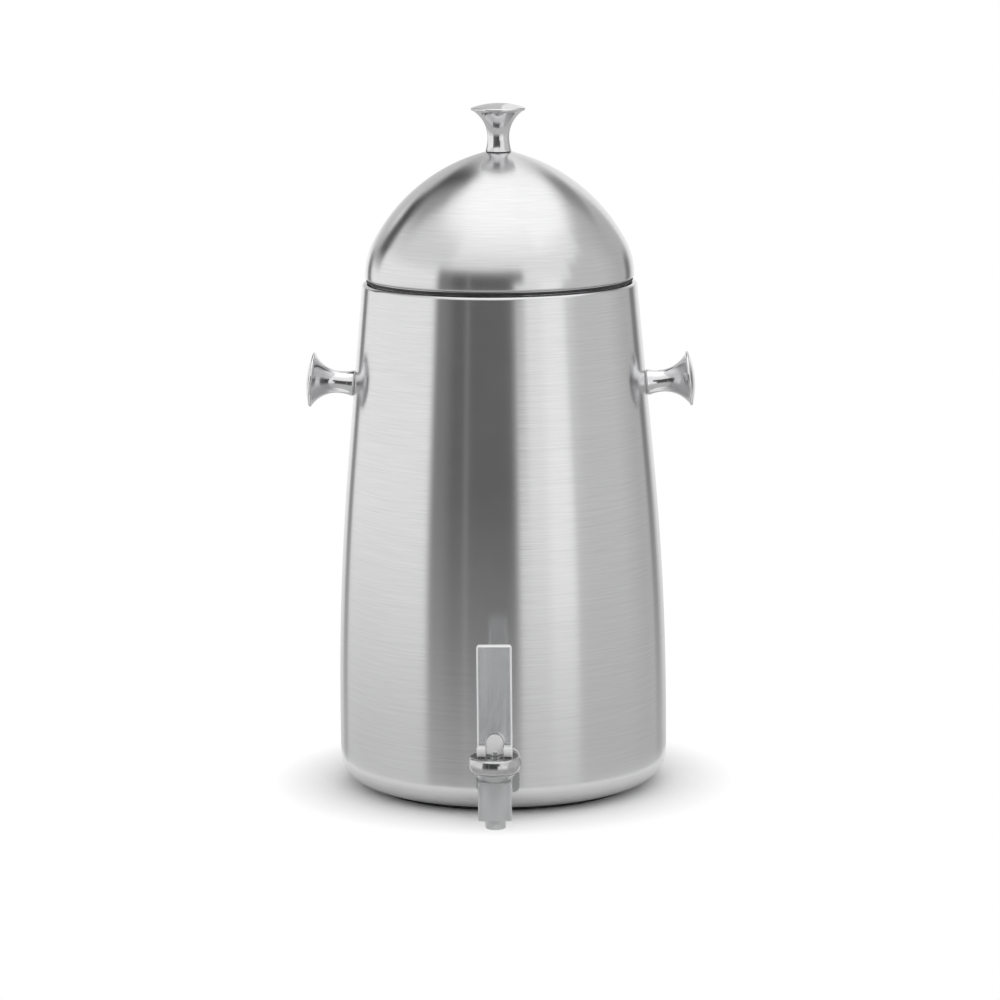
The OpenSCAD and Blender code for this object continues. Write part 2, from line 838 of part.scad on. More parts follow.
module valve_stem() {
    color(clear)
        difference() {
            at_stem() {
                translate([0, 0, stem_foot_z])
                    cylinder(r = stem_foot_r, h = stem_foot_t);
                translate([0, 0, stem_foot_z])
                    cylinder(r = stem_r, h = bonnet_top_z + tongue_gap - stem_foot_z);
                translate([0, tongue_t / 2, 0])
                    rotate([90, 0, 0])
                        linear_extrude(tongue_t) {
                            translate([0, pin_z + tongue_up - tongue_w / 2])
                                circle(r = tongue_w / 2);
                            translate([-tongue_w / 2, bonnet_top_z + tongue_gap])
                                square([tongue_w, pin_up + tongue_up - tongue_gap - tongue_w / 2]);
                        }
            }
            pin_rod(pin_r + run_gap, tongue_w / 2 + over);
        }
}

// Rod along the lever's pin, out to a distance at each side
module pin_rod(r, half) {
    translate([-half, -stem_y, pin_z])
        rotate([0, 90, 0])
            cylinder(r = r, h = 2 * half);
}

module lever_pin() {
    color(polished)
        pin_rod(pin_r, lever_w / 2 - pin_step);
}

module tap_lever() {
    cams = [for (a = [0 : cam_step : lever_throw]) cam_point(a)];
    toe = cam_point(lever_throw);
    slot_top = tongue_up + slot_room;
    color(clear)
        difference() {
            translate([0, -stem_y, pin_z]) {
                translate([0, lever_t / 2, 0])
                    rotate([90, 0, 0])
                        linear_extrude(lever_t)
                            difference() {
                                lever_outline();
                                translate([0, slot_top - slot_half])
                                    circle(r = slot_half);
                                translate([-slot_half, -cam_low - over])
                                    square([2 * slot_half, cam_low + over + slot_top - slot_half]);
                            }
                for (side = [-1, 1])
                    translate([side * (lever_w / 2 + slot_half) / 2, 0, 0])
                        rotate([90, 0, 90])
                            linear_extrude(lever_w / 2 - slot_half, center = true)
                                polygon(concat(
                                    [[lever_t / 2, -cam_low]],
                                    cams,
                                    [toe, [toe[0], 0], [lever_t / 2, 0]]
                                ));
            }
            pin_rod(pin_r + thread_gap, lever_w / 2 + over);
        }
}

// Front view of the lever's bar from its pin, with round corners at the top
module lever_outline() {
    half = lever_w / 2 - lever_corner_r;
    translate([-lever_w / 2, -cam_low])
        square([lever_w, cam_low + lever_up - lever_corner_r]);
    translate([-half, 0])
        square([2 * half, lever_up]);
    for (side = [-1, 1])
        translate([side * half, lever_up - lever_corner_r])
            circle(r = lever_corner_r);
}

module lid_dome() {
    color(steel)
        difference() {
            rotate_extrude()
                polygon(concat(
                    [[lid_r - hem_w, hem_z]],
                    arc(lid_r - hem_r, hem_z + hem_r, hem_r, -90, 0),
                    dome_line(0),
                    [[0, dome_z], [0, dome_z - dome_t]],
                    reversed(dome_line(dome_t)),
                    arc(lid_r - hem_r, hem_z + hem_r, hem_r - dome_t, 0, -90),
                    [[lid_r - hem_w, hem_z + dome_t]]
                ));
            translate([0, 0, dome_z - dome_t - over])
                cylinder(r = knob_screw_r + hole_gap, h = dome_t + 2 * over);
        }
}

// Points up the dome's shoulder and crown to the flat at its top, set in from its outside
function dome_line(inset) = concat(
    arc(shoulder_c[0], shoulder_c[1], shoulder_r - inset, 0, dome_turn, dome_steps),
    arc(crown_c[0], crown_c[1], crown_r - inset,
        dome_turn, crown_angle(dome_z - inset, inset), dome_steps)
);

module lid_liner() {
    low_z = lid_z - plug_depth;
    color(steel)
        rotate_extrude()
            polygon(concat(
                [[0, low_z]],
                arc(plug_r - plug_corner_r, low_z + plug_corner_r, plug_corner_r, -90, 0),
                [
                    [plug_r, lid_z],
                    [liner_flange_r, lid_z],
                    [liner_flange_r, hem_z],
                    [plug_r - liner_t, hem_z]
                ],
                arc(plug_r - plug_corner_r, low_z + plug_corner_r, plug_corner_r - liner_t, 0, -90),
                [[0, low_z + liner_t]]
            ));
}

module lid_gasket() {
    inner_r = mouth_r + gasket_step;
    color(black)
        translate([0, 0, mouth_z])
            rotate_extrude()
                translate([inner_r, 0])
                    square([liner_flange_r + gasket_lip - inner_r, gasket_t]);
}

module lid_knob() {
    translate([0, 0, lid_knob_z])
        knob();
}

module lid_knob_washer() {
    color(black)
        translate([0, 0, dome_z])
            difference() {
                cylinder(r = washer_r, h = washer_t);
                translate([0, 0, -over])
                    cylinder(r = knob_screw_r + hole_gap, h = washer_t + 2 * over);
            }
}

module lid_knob_screw() {
    translate([0, 0, lid_knob_z])
        knob_screw(lid_stack);
}

module lid_knob_backing_washer() {
    color(steel)
        translate([0, 0, dome_z - dome_t - lid_backing_t])
            difference() {
                cylinder(r = lid_backing_r, h = lid_backing_t);
                translate([0, 0, -over])
                    cylinder(r = knob_screw_r + hole_gap, h = lid_backing_t + 2 * over);
            }
}

outer_shell();
inner_vessel();
vessel_floor();
insulation_jacket();
base_plate();
base_screws();
foot_ring();
handle_knob(-1);  // left_handle_knob
handle_knob(1);  // right_handle_knob
handle_washer(-1);  // left_handle_washer
handle_washer(1);  // right_handle_washer
handle_backing_plate(-1);  // left_handle_backing_plate
handle_backing_plate(1);  // right_handle_backing_plate
handle_screw(-1);  // left_handle_screw
handle_screw(1);  // right_handle_screw
tap_ferrule();
tap_outer_gasket();
tap_inner_washer();
tap_nut();
tap_body();
tap_bonnet();
seat_cup();
tap_spring();
valve_stem();
lever_pin();
tap_lever();
lid_dome();
lid_liner();
lid_gasket();
lid_knob();
lid_knob_washer();
lid_knob_screw();
lid_knob_backing_washer();
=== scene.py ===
"""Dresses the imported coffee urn: brushed steel, polished knobs and a clear lever tap, in metres."""

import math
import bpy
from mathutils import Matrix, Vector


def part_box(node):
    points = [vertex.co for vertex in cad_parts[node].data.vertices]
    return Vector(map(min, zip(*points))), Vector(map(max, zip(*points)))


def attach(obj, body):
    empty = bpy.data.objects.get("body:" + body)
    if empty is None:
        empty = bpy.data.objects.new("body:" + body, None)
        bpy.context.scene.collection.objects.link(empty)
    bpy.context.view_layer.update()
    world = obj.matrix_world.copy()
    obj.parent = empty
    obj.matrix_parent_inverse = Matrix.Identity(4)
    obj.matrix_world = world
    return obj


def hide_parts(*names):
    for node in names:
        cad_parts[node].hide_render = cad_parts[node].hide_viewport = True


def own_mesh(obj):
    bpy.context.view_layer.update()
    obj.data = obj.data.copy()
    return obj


bl_info = {
    "name": "Coffee Urn",
    "version": (1, 0, 0),
    "blender": (4, 5, 0),
    "location": "3D View > Sidebar > Coffee Urn",
    "description": "Models and finishes an insulated coffee urn around its CAD frame",
    "category": "Object",
}

import bpy
from bpy.props import FloatProperty, FloatVectorProperty, IntProperty, PointerProperty
from mathutils import Matrix, Vector

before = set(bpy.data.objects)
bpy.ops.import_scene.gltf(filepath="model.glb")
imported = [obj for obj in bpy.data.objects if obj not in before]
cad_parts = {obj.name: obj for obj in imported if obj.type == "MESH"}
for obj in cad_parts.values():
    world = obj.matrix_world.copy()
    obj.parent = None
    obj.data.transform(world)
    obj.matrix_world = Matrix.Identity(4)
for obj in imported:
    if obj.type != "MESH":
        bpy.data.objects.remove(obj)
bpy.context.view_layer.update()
# Points closer than this are one point
MERGE = 1e-6
# Edges sharper than this get rounded
SHARP = math.radians(35)
# Faces that meet at less than this shade as one
SMOOTH = math.radians(30)
# Part of a facet that a rod is turned by, so that its edges meet no edge of a like piece
ROD_TURN = 0.37
# Facets around a screw, the pin, the holes for the pin and a turn of the spring
SMALL_FACETS = 32
# Faces of the lever that look to the front or back by less than this belong to its edges
FACING = 0.8


def length(name, description, default):
    """A size in metres."""
    return FloatProperty(
        name=name,
        description=description,
        default=default,
        precision=5,
        unit="LENGTH",
        subtype="DISTANCE",
    )


def angle(name, description, degrees):
    """An angle, written in degrees."""
    return FloatProperty(
        name=name, description=description, default=math.radians(degrees), subtype="ANGLE"
    )


def share(name, description, default):
    """A part of one, such as a roughness."""
    return FloatProperty(
        name=name, description=description, default=default, min=0.0, max=1.0, subtype="FACTOR"
    )


def amount(name, description, default):
    """A plain number."""
    return FloatProperty(name=name, description=description, default=default)


def count(name, description, default):
    """A whole number."""
    return IntProperty(name=name, description=description, default=default, min=1)


def colour(name, description, default):
    """A linear colour."""
    return FloatVectorProperty(
        name=name, description=description, default=default, size=3, min=0.0, max=1.0, subtype="COLOR"
    )


SHELL_LOW, SHELL_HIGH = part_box("outer_shell")
VESSEL_LOW, VESSEL_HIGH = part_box("inner_vessel")
DOME_LOW, DOME_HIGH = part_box("lid_dome")
LINER_LOW, LINER_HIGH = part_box("lid_liner")
GASKET_LOW, GASKET_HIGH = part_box("lid_gasket")
FOOT_LOW, FOOT_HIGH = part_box("foot_ring")
LID_KNOB_LOW, LID_KNOB_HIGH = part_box("lid_knob")
BONNET_LOW, BONNET_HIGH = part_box("tap_bonnet")
TAP_LOW, TAP_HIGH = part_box("tap_body")
LEVER_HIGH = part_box("tap_lever")[1]
STEM_LOW, STEM_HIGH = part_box("valve_stem")
PIN_LOW, PIN_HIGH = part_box("lever_pin")
CUP_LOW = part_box("seat_cup")[0]
SPRING_LOW, SPRING_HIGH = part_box("tap_spring")
SCREWS_LOW, SCREWS_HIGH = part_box("base_screws")


class UrnBody(bpy.types.PropertyGroup):
    """Sizes of the steel body, its foot and its vessel."""

    radius: length("Radius", "Outer radius of the body near its base", SHELL_HIGH.y)
    rim: length("Rim height", "Height of the rim above the table", SHELL_HIGH.z)
    bottom: length("Bottom height", "Height of the body's flat bottom", SHELL_LOW.z)
    belly: length("Belly height", "Height at which the wall begins to lean in", 0.060)
    taper: length("Taper height", "Height at which the lean becomes straight", 0.285)
    lean: angle("Lean", "Lean of the straight upper wall", 5.2)
    sheet: length("Sheet", "Thickness of the outer sheet", 0.001)
    corner: length("Corner", "Outer radius of the corner under the body", 0.023)
    roll: length("Roll", "Outer radius of the rolled rim", 0.003)
    lip: length("Lip", "Width of the lip that is turned in under the body", 0.029)
    lip_gap: length("Lip gap", "Gap between the rim's lip and the vessel", 0.0005)
    foot_round: length("Foot rounding", "Radius of the foot ring's edges", 0.0009)
    foot_width: length("Foot width", "Width of the foot ring", 0.012)
    jacket: length("Jacket", "Gap between the outer sheet and the vessel", 0.014)
    vessel_sheet: length("Vessel sheet", "Thickness of the vessel's sheet", 0.001)
    vessel_flange: length("Vessel flange", "Reach of the vessel's flange over the rim", 0.009)
    vessel_corner: length("Vessel corner", "Outer radius of the corner under the vessel", 0.012)
    screw: length("Screw", "Radius of the base's screws", 0.002)
    screw_head: length("Screw head", "Radius of the base screws' heads", 0.0038)
    screw_head_h: length("Screw head height", "Height of the base screws' heads", 0.0018)
    screws: count("Screws", "Number of screws in the base", 6)
    facets: count("Facets", "Facets around a large turned piece", 256)


class UrnLid(bpy.types.PropertyGroup):
    """Sizes of the domed lid."""

    radius: length("Radius", "Outer radius of the lid's hem", DOME_HIGH.x)
    hem_z: length("Hem height", "Height of the underside of the dome's hem", DOME_LOW.z)
    top_z: length("Top height", "Height of the flat at the dome's top", DOME_HIGH.z)
    shoulder: length("Shoulder", "Radius of the dome's shoulder arc", 0.0636)
    crown: length("Crown", "Radius of the dome's crown arc", 0.154)
    seat: length("Seat", "Radius of the flat under the knob", 0.013)
    sheet: length("Sheet", "Thickness of the dome's sheet", 0.001)
    hem_round: length("Hem rounding", "Outer radius of the dome's hem corner", 0.0016)
    hem: length("Hem", "Width of the dome's flat hem", 0.008)
    liner_sheet: length("Liner sheet", "Thickness of the liner's sheet", 0.0008)
    plug: length("Plug", "Radius of the plug that hangs in the vessel's mouth", 0.0999)
    plug_corner: length("Plug corner", "Corner radius of the plug", 0.004)
    gasket_round: length("Gasket rounding", "Radius of the gasket's edges", 0.0007)
    gasket_width: length("Gasket width", "Width of the gasket's ring", 0.01125)


class UrnKnob(bpy.types.PropertyGroup):
    """Sizes of the three trumpet-shaped knobs."""

    height: length("Height", "Height of a knob over its foot", LID_KNOB_HIGH.z - LID_KNOB_LOW.z)
    foot: length("Foot", "Radius of a knob's foot", 0.0115)
    neck: length("Neck", "Radius of a knob's neck", 0.0095)
    neck_z: length("Neck height", "Height of the neck's thinnest place", 0.012)
    flange: length("Flange", "Radius of a knob's flange", LID_KNOB_HIGH.x)
    edge_z: length("Edge height", "Height of the flange's edge", 0.0365)
    edge: length("Edge", "Radius of the flange's rounded edge", 0.0014)
    foot_round: length("Foot rounding", "Radius of the foot's lower edge", 0.0004)
    hole: length("Hole", "Radius of the threaded hole in a knob's foot", 0.00305)
    thread: length("Thread", "Depth of the threaded hole in a knob's foot", 0.014)
    washer: length("Washer", "Thickness of the washer under a knob", 0.0008)
    drop: length("Drop", "Depth of the side knobs' axes under the rim", 0.089)
    facets: count("Facets", "Facets around a knob", 128)


class UrnTap(bpy.types.PropertyGroup):
    """Sizes of the clear tap, its bonnet, valve and lever."""

    axis_y: length("Axis", "Distance of the valve's axis in front of the urn's axis", 0.210)
    shank_z: length("Shank height", "Height of the shank's axis", 0.042)
    shank: length("Shank", "Radius of the threaded shank", 0.011)
    shank_in: length("Shank end", "Distance from the urn's axis to the shank's end", -TAP_HIGH.y)
    shank_gap: length("Shank gap", "Play of the shank in the walls", 0.0003)
    inlet: length("Inlet", "Radius of the bore through the shank", 0.0075)
    barrel: length("Barrel", "Radius of the barrel behind the spout", 0.0115)
    flange_y: length("Flange", "Distance from the urn's axis to the back of the flange", 0.146)
    flange: length("Flange width", "Width of the square flange", 0.037)
    flange_corner: length("Flange corner", "Corner radius of the square flange", 0.006)
    flange_t: length("Flange thickness", "Thickness of the square flange", 0.004)
    spout: length("Spout", "Width of the square spout", 0.028)
    spout_corner: length("Spout corner", "Radius of the spout's upright edges", 0.002)
    spout_low: length("Spout bottom", "Height of the spout's bottom", 0.0175)
    spout_high: length("Spout top", "Height of the spout's top", 0.050)
    nozzle: length("Nozzle", "Radius of the nozzle", 0.0089)
    nozzle_z: length("Nozzle end", "Height of the nozzle's end", TAP_LOW.z)
    nozzle_edge: length("Nozzle edge", "Radius of the nozzle's lower edge", 0.0012)
    outlet: length("Outlet", "Radius of the outlet bore", 0.006)
    chamber: length("Chamber", "Radius of the valve chamber", 0.011)
    seat_z: length("Seat", "Height of the valve seat", 0.031)
    collar: length("Collar", "Radius of the collar under the bonnet", 0.018)
    collar_band: length("Collar band", "Height of the collar's straight top", 0.002)
    neck: length("Neck", "Radius of the threaded neck inside the bonnet", 0.0165)
    neck_top: length("Neck top", "Height of the neck's top", TAP_HIGH.z)
    bonnet_bulge: length("Bonnet bulge", "Radius of the bulge up the bonnet's side", 0.017)
    bonnet_slope: angle("Bonnet slope", "Slope of the bonnet's side under its upper edge", 18)
    bonnet_low_round: length("Bonnet low edge", "Radius of the bonnet's lower edge", 0.002)
    bonnet_top_round: length("Bonnet top edge", "Radius of the bonnet's upper edge", 0.0025)
    bonnet_bore: length("Bonnet bore", "Radius of the bonnet's thread", 0.01655)
    bonnet_hole: length("Bonnet hole", "Radius of the hole for the stem", 0.00406)
    ledge_z: length("Ledge", "Height of the ledge inside the bonnet", 0.065)
    edge: length("Moulded edge", "Radius of the clear pieces' edges", 0.0005)
    pin_z: length("Pin height", "Height of the lever's pin", (PIN_LOW.z + PIN_HIGH.z) / 2)
    pin: length("Pin", "Radius of the lever's pin", 0.002)
    pin_gap: length("Pin gap", "Play around the lever's pin", 0.00005)
    lever_t: length("Lever thickness", "Thickness of the lever", 0.008)
    lever_round: length("Lever rounding", "Radius of the lever's outer edges", 0.0026)
    slot_round: length("Slot rounding", "Radius of the edges of the slot and the tongue", 0.001)
    slot: length("Slot", "Half width of the lever's slot", 0.0075)
    slot_top: length("Slot top", "Height of the slot's round top", 0.0905)
    throw: angle("Throw", "Angle that the lever tips forward", 60)
    lift: length("Lift", "Lift of the valve when the lever is right down", 0.005)
    cam_low: length("Cam", "Reach of the cams under the pin", 0.0097)
    cam_step: length("Cam step", "How far the cams are let into the bar", 0.00008)
    tongue_t: length("Tongue thickness", "Thickness of the stem's tongue", 0.007)
    tongue_low: length("Tongue bottom", "Height of the tongue's bottom", 0.072)
    stem: length("Stem", "Radius of the stem", 0.004)
    stem_foot: length("Stem foot", "Radius of the stem's foot", 0.0065)
    stem_foot_t: length("Stem foot height", "Thickness of the stem's foot", 0.003)
    cup: length("Cup", "Outer radius of the seat cup", 0.0085)
    cup_wall: length("Cup wall", "Wall of the seat cup", 0.0011)
    cup_gap: length("Cup gap", "Play around the seat cup", 0.00035)
    cup_flange_t: length("Cup flange", "Thickness of the seat cup's flange", 0.0015)
    wire: length("Wire", "Wire diameter of the spring", 0.0012)
    turns: count("Turns", "Turns of the spring", 7)
    facets: count("Facets", "Facets around a turned piece of the tap", 96)


class UrnFinish(bpy.types.PropertyGroup):
    """Colours and finishes."""

    steel: colour("Brushed steel", "Steel of the body and the lid", (0.70, 0.70, 0.705))
    steel_groove: colour("Brushed steel, grooves", "Steel in its grooves", (0.635, 0.635, 0.642))
    vessel: colour("Vessel steel", "Steel of the vessel and the liner", (0.68, 0.68, 0.685))
    vessel_groove: colour("Vessel steel, grooves", "Vessel steel in its grooves", (0.56, 0.56, 0.57))
    chrome: colour("Polished metal", "Knobs", (0.73, 0.73, 0.74))
    chrome_smudge: colour("Polished metal, smudged", "Knobs under finger marks", (0.64, 0.64, 0.65))
    # The bonnet's metal is a darker copy of the knobs' polished metal, painted shade that stands in for
    # the dimmer surroundings it reflects
    bonnet: colour("Bonnet metal with painted shade", "Polished metal of the tap's bonnet", (0.56, 0.56, 0.565))
    bonnet_smudge: colour("Bonnet metal with painted shade, smudged", "Bonnet under finger marks", (0.48, 0.48, 0.485))
    fastener: colour("Fastener steel", "Screws, spring and washers", (0.52, 0.52, 0.53))
    rubber: colour("Black rubber", "Foot ring, lid gasket and lid washer", (0.012, 0.012, 0.013))
    rubber_dust: colour("Rubber bloom", "Pale bloom on the rubber", (0.05, 0.05, 0.05))
    clear: colour("Clear plastic", "Lever, stem and nut", (0.95, 0.965, 0.97))
    frosted: colour("Frosted plastic", "Tap body", (0.84, 0.85, 0.855))
    # Frosted white plastic that is partly a painted highlight: its near-opaque white stands in for the
    # light that the clear edges of the lever and the tongue catch
    matt_and_highlight: colour("Matt plastic and painted edge highlight", "Edges of the lever, its cams and the tongue", (0.99, 0.99, 0.99))
    silicone: colour("Silicone", "Seat cup, tap gaskets and side washers", (0.90, 0.90, 0.89))
    silicone_dark: colour("Silicone, shaded", "Cloudy parts of the silicone", (0.82, 0.82, 0.81))
    felt: colour("Jacket", "Insulating jacket", (0.55, 0.50, 0.38))
    felt_dark: colour("Jacket, shaded", "Hollows of the insulating jacket", (0.38, 0.34, 0.25))
    body_anisotropy: share("Anisotropy", "How far the brushing draws a reflection out", 0.8)
    body_roughness: share("Brushed roughness", "Roughness of the brushed steel", 0.19)
    chrome_roughness: share("Polish", "Roughness of the polished metal", 0.055)
    clear_transmission: share("Clearness", "Share of light through the clear plastic", 0.78)
    frosted_transmission: share("Frosted clearness", "Share of light through the frosted plastic", 0.6)
    edge_transmission: share("Edge clearness", "Share of light through the matt edges", 0.12)
    frosting: share("Frosting", "Roughness of the frosted plastic and the matt edges", 0.45)


class UrnStage(bpy.types.PropertyGroup):
    """Camera and studio."""

    distance: length("Camera distance", "Distance of the camera from the urn's axis", 3.362)
    azimuth: angle("Camera azimuth", "Turn of the camera around the urn, to its right", 1.98)
    height: length("Camera height", "Height of the camera above the table", 0.828)
    pitch: angle("Camera pitch", "How far the camera looks down", 9.754)
    roll: angle("Camera roll", "Turn of the camera around its line of sight", 0.50)
    pan: angle("Camera pan", "Turn of the camera to its left, away from the urn's axis", 0.022)
    lens: amount("Lens", "Focal length in millimetres on a 36 mm sensor", 139.9)
    tent: length("Tent radius", "Radius of the reflecting tent around the urn", 6.0)
    world: amount("World strength", "Strength of the white surround", 1.0)
    floor_r: length("Floor radius", "Radius of the pale floor", 0.205)
    floor_plain: length("Plain floor", "Radius inside which the floor shows its own colour", 0.146)
    floor_white: length("White floor", "Radius at which the floor has turned white", 0.20295)
    floor: colour("Floor", "Pale studio floor", (0.90, 0.90, 0.90))
    tent_level: amount("Tent level", "Brightness of the tent's top", 1.42)
    tent_wall: amount("Wall level", "Brightness of the tent's bare walls", 1.03)
    tent_ground: amount("Ground level", "Brightness of the tent under the floor", 0.58)
    tent_low: angle("Tent bottom", "How far the tent reaches under the floor", 60)


GROUPS = {
    "urn_body": UrnBody,
    "urn_lid": UrnLid,
    "urn_knob": UrnKnob,
    "urn_tap": UrnTap,
    "urn_finish": UrnFinish,
    "urn_stage": UrnStage,
}


def clear_selection():
    """Leaves edit mode and deselects everything."""
    if bpy.context.object and bpy.context.object.mode != "OBJECT":
        bpy.ops.object.mode_set(mode="OBJECT")
    bpy.ops.object.select_all(action="DESELECT")


def select_only(piece):
    """Selects one piece and nothing else, and makes it the active one."""
    clear_selection()
    bpy.context.view_layer.objects.active = piece
    piece.select_set(True)


def name_piece(name):
    """Names the object that was just added."""
    piece = bpy.context.object
    piece.name = name
    piece.data.name = name
    return piece


def edit(piece):
    """Opens one piece in edit mode with all of it selected."""
    select_only(piece)
    bpy.ops.object.mode_set(mode="EDIT")
    bpy.ops.mesh.select_mode(type="VERT")
    bpy.ops.mesh.select_all(action="SELECT")


def pick(piece, kind, keep):
    """Opens one piece in edit mode with only those of its edges or faces selected that pass a test."""
    edit(piece)
    bpy.ops.mesh.select_mode(type=kind)
    bpy.ops.mesh.select_all(action="DESELECT")
    bpy.ops.object.mode_set(mode="OBJECT")
    for part in piece.data.edges if kind == "EDGE" else piece.data.polygons:
        part.select = keep(part)
    bpy.ops.object.mode_set(mode="EDIT")


def close_mesh(piece):
    """Merges doubles, turns the faces outwards and leaves edit mode."""
    bpy.ops.mesh.select_all(action="SELECT")
    bpy.ops.mesh.remove_doubles(threshold=MERGE)
    bpy.ops.mesh.normals_make_consistent(inside=False)
    bpy.ops.object.mode_set(mode="OBJECT")
    return piece


def arc(x, z, radius, start, end, steps):
    """Points along an arc around (x, z), between two angles in degrees."""
    angles = [math.radians(start + (end - start) * i / steps) for i in range(steps + 1)]
    return [(x + radius * math.cos(a), z + radius * math.sin(a)) for a in angles]


def draw_section(name, points):
    """Draws half of a turned piece's section, point by point, in the XZ plane."""
    clear_selection()
    bpy.ops.mesh.primitive_plane_add(size=0.01)
    piece = name_piece(name)
    edit(piece)
    bpy.ops.mesh.merge(type="CENTER")
    bpy.ops.transform.translate(value=(points[0][0], 0, points[0][1]))
    for (x0, z0), (x1, z1) in zip(points, points[1:]):
        if abs(x1 - x0) + abs(z1 - z0) > MERGE:
            bpy.ops.mesh.extrude_vertices_move(TRANSFORM_OT_translate={"value": (x1 - x0, 0, z1 - z0)})
    return piece


def turn_piece(name, points, facets):
    """Spins a half section around the Z axis."""
    piece = draw_section(name, points)
    bpy.ops.mesh.select_all(action="SELECT")
    bpy.ops.mesh.spin(steps=facets, angle=math.tau, center=(0, 0, 0), axis=(0, 0, 1))
    return close_mesh(piece)


def round_section(corners, radius, steps=5):
    """A closed section with its right-angled corners rounded, from its corners in order."""
    points = []
    for i, corner in enumerate(corners):
        here = Vector(corner)
        back = (Vector(corners[i - 1]) - here).normalized() * radius
        ahead = (Vector(corners[(i + 1) % len(corners)]) - here).normalized() * radius
        centre = here + back + ahead
        for k in range(steps + 1):
            turn = math.pi / 2 * k / steps
            point = centre - ahead * math.cos(turn) - back * math.sin(turn)
            points.append((point.x, point.y))
    return points + points[:1]


def turn_ring(name, low, high, width, radius, facets):
    """A flat ring with rounded edges, inside a node's lowest and highest corners."""
    outer, inner = high.x, high.x - width
    corners = [(inner, low.z), (outer, low.z), (outer, high.z), (inner, high.z)]
    return turn_piece(name, round_section(corners, radius), facets)


def place(piece, where):
    """Moves a piece and puts its place into its mesh."""
    select_only(piece)
    piece.matrix_world = where
    bpy.ops.object.transform_apply(location=True, rotation=True, scale=True)
    return piece


def copy_piece(piece, name):
    """A copy of a piece with its own mesh."""
    select_only(piece)
    bpy.ops.object.duplicate(linked=False)
    return name_piece(name)


def add_box(name, low, high):
    """A block between two corners, to be shaped further."""
    clear_selection()
    low, high = Vector(low), Vector(high)
    bpy.ops.mesh.primitive_cube_add(size=1, location=(low + high) / 2, scale=high - low)
    piece = name_piece(name)
    bpy.ops.object.transform_apply(location=True, rotation=True, scale=True)
    return piece


def add_rod(name, start, end, radius, facets):
    """A rod between two points, to be joined or cut with."""
    clear_selection()
    start, end = Vector(start), Vector(end)
    along = end - start
    twist = Matrix.Rotation(ROD_TURN * math.tau / facets, 3, "Z")
    turn = along.to_track_quat("Z", "Y").to_matrix() @ twist
    bpy.ops.mesh.primitive_cylinder_add(
        vertices=facets,
        radius=radius,
        depth=along.length,
        location=(start + end) / 2,
        rotation=turn.to_euler(),
    )
    piece = name_piece(name)
    bpy.ops.object.transform_apply(location=True, rotation=True, scale=True)
    return piece


def bevel_edges(piece, radius, keep, segments):
    """Rounds the edges whose two ends pass a test."""
    pick(piece, "EDGE", lambda edge: keep(*(piece.data.vertices[v].co for v in edge.vertices)))
    bpy.ops.mesh.bevel(offset=radius, segments=segments, affect="EDGES", clamp_overlap=True)
    bpy.ops.object.mode_set(mode="OBJECT")
    return piece


def along_axis(axis):
    """Test for edges that run along X, Y or Z (0, 1 or 2)."""
    others = [i for i in range(3) if i != axis]
    return lambda a, b: all(abs(a[i] - b[i]) < MERGE for i in others)


def apply_step(piece, name, kind, options):
    """Adds a modifier with these options and applies it."""
    select_only(piece)
    step = piece.modifiers.new(name, kind)
    for key, value in options.items():
        setattr(step, key, value)
    bpy.ops.object.modifier_apply(modifier=step.name)
    return piece


def combine(piece, other, operation):
    """Joins another piece to this one or cuts it away, and removes it."""
    options = {"operation": operation, "solver": "EXACT", "object": other}
    apply_step(piece, "Combine", "BOOLEAN", options)
    bpy.data.objects.remove(other)
    return piece


def soften(piece, radius, segments=3):
    """Rounds the sharp edges that are left."""
    options = {"width": radius, "segments": segments, "limit_method": "ANGLE", "angle_limit": SHARP}
    return apply_step(piece, "Soft edges", "BEVEL", options)


def finish_piece(piece, body, finish, slot, *nodes):
    """Shades a piece, gives it its material and lets it ride in place of its CAD nodes."""
    select_only(piece)
    bpy.ops.object.shade_smooth_by_angle(angle=SMOOTH)
    piece.data.materials.clear()
    piece.data.materials.append(bpy.data.materials[finish])
    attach(piece, body)
    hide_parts(*nodes)
    return piece


def matt_highlight_edges(piece, keep):
    """Gives the faces of a clear piece that pass a test a frosted white finish, which is partly a
    painted highlight for the light that clear edges catch, and leaves the others clear.
    """
    piece.data.materials.append(bpy.data.materials["Matt edge and painted highlight"])
    piece.active_material_index = 1
    pick(piece, "FACE", keep)
    bpy.ops.object.material_slot_assign()
    bpy.ops.object.mode_set(mode="OBJECT")


def finish_nodes(finish, *nodes):
    """Gives CAD nodes that stay their material."""
    for node in nodes:
        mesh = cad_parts[node].data
        mesh.materials.clear()
        mesh.materials.append(bpy.data.materials[finish])


def wall_radius(body, z):
    """Outer radius of the body's wall at a height: upright, a long arc, then a straight lean."""
    bend = (body.taper - body.belly) / math.sin(body.lean)
    if z <= body.belly:
        return body.radius
    if z <= body.taper:
        return body.radius - bend + math.sqrt(bend**2 - (z - body.belly) ** 2)
    return body.radius - bend * (1 - math.cos(body.lean)) - (z - body.taper) * math.tan(body.lean)


def wall_line(body, low, high, inset, steps=36):
    """Points up the body's wall, set in from its outside."""
    heights = [low + (high - low) * i / steps for i in range(steps + 1)]
    return [(wall_radius(body, z) - inset, z) for z in heights]


def feed(tree, node, inputs):
    """Links or sets the inputs of a shader node, by name or by place."""
    for key, value in inputs.items():
        if isinstance(value, bpy.types.NodeSocket):
            tree.links.new(value, node.inputs[key])
        else:
            node.inputs[key].default_value = value


def add_node(tree, kind, options=None, inputs=None):
    """Adds a shader node, sets its options and feeds its inputs."""
    node = tree.nodes.new(kind)
    for key, value in (options or {}).items():
        setattr(node, key, value)
    feed(tree, node, inputs or {})
    return node


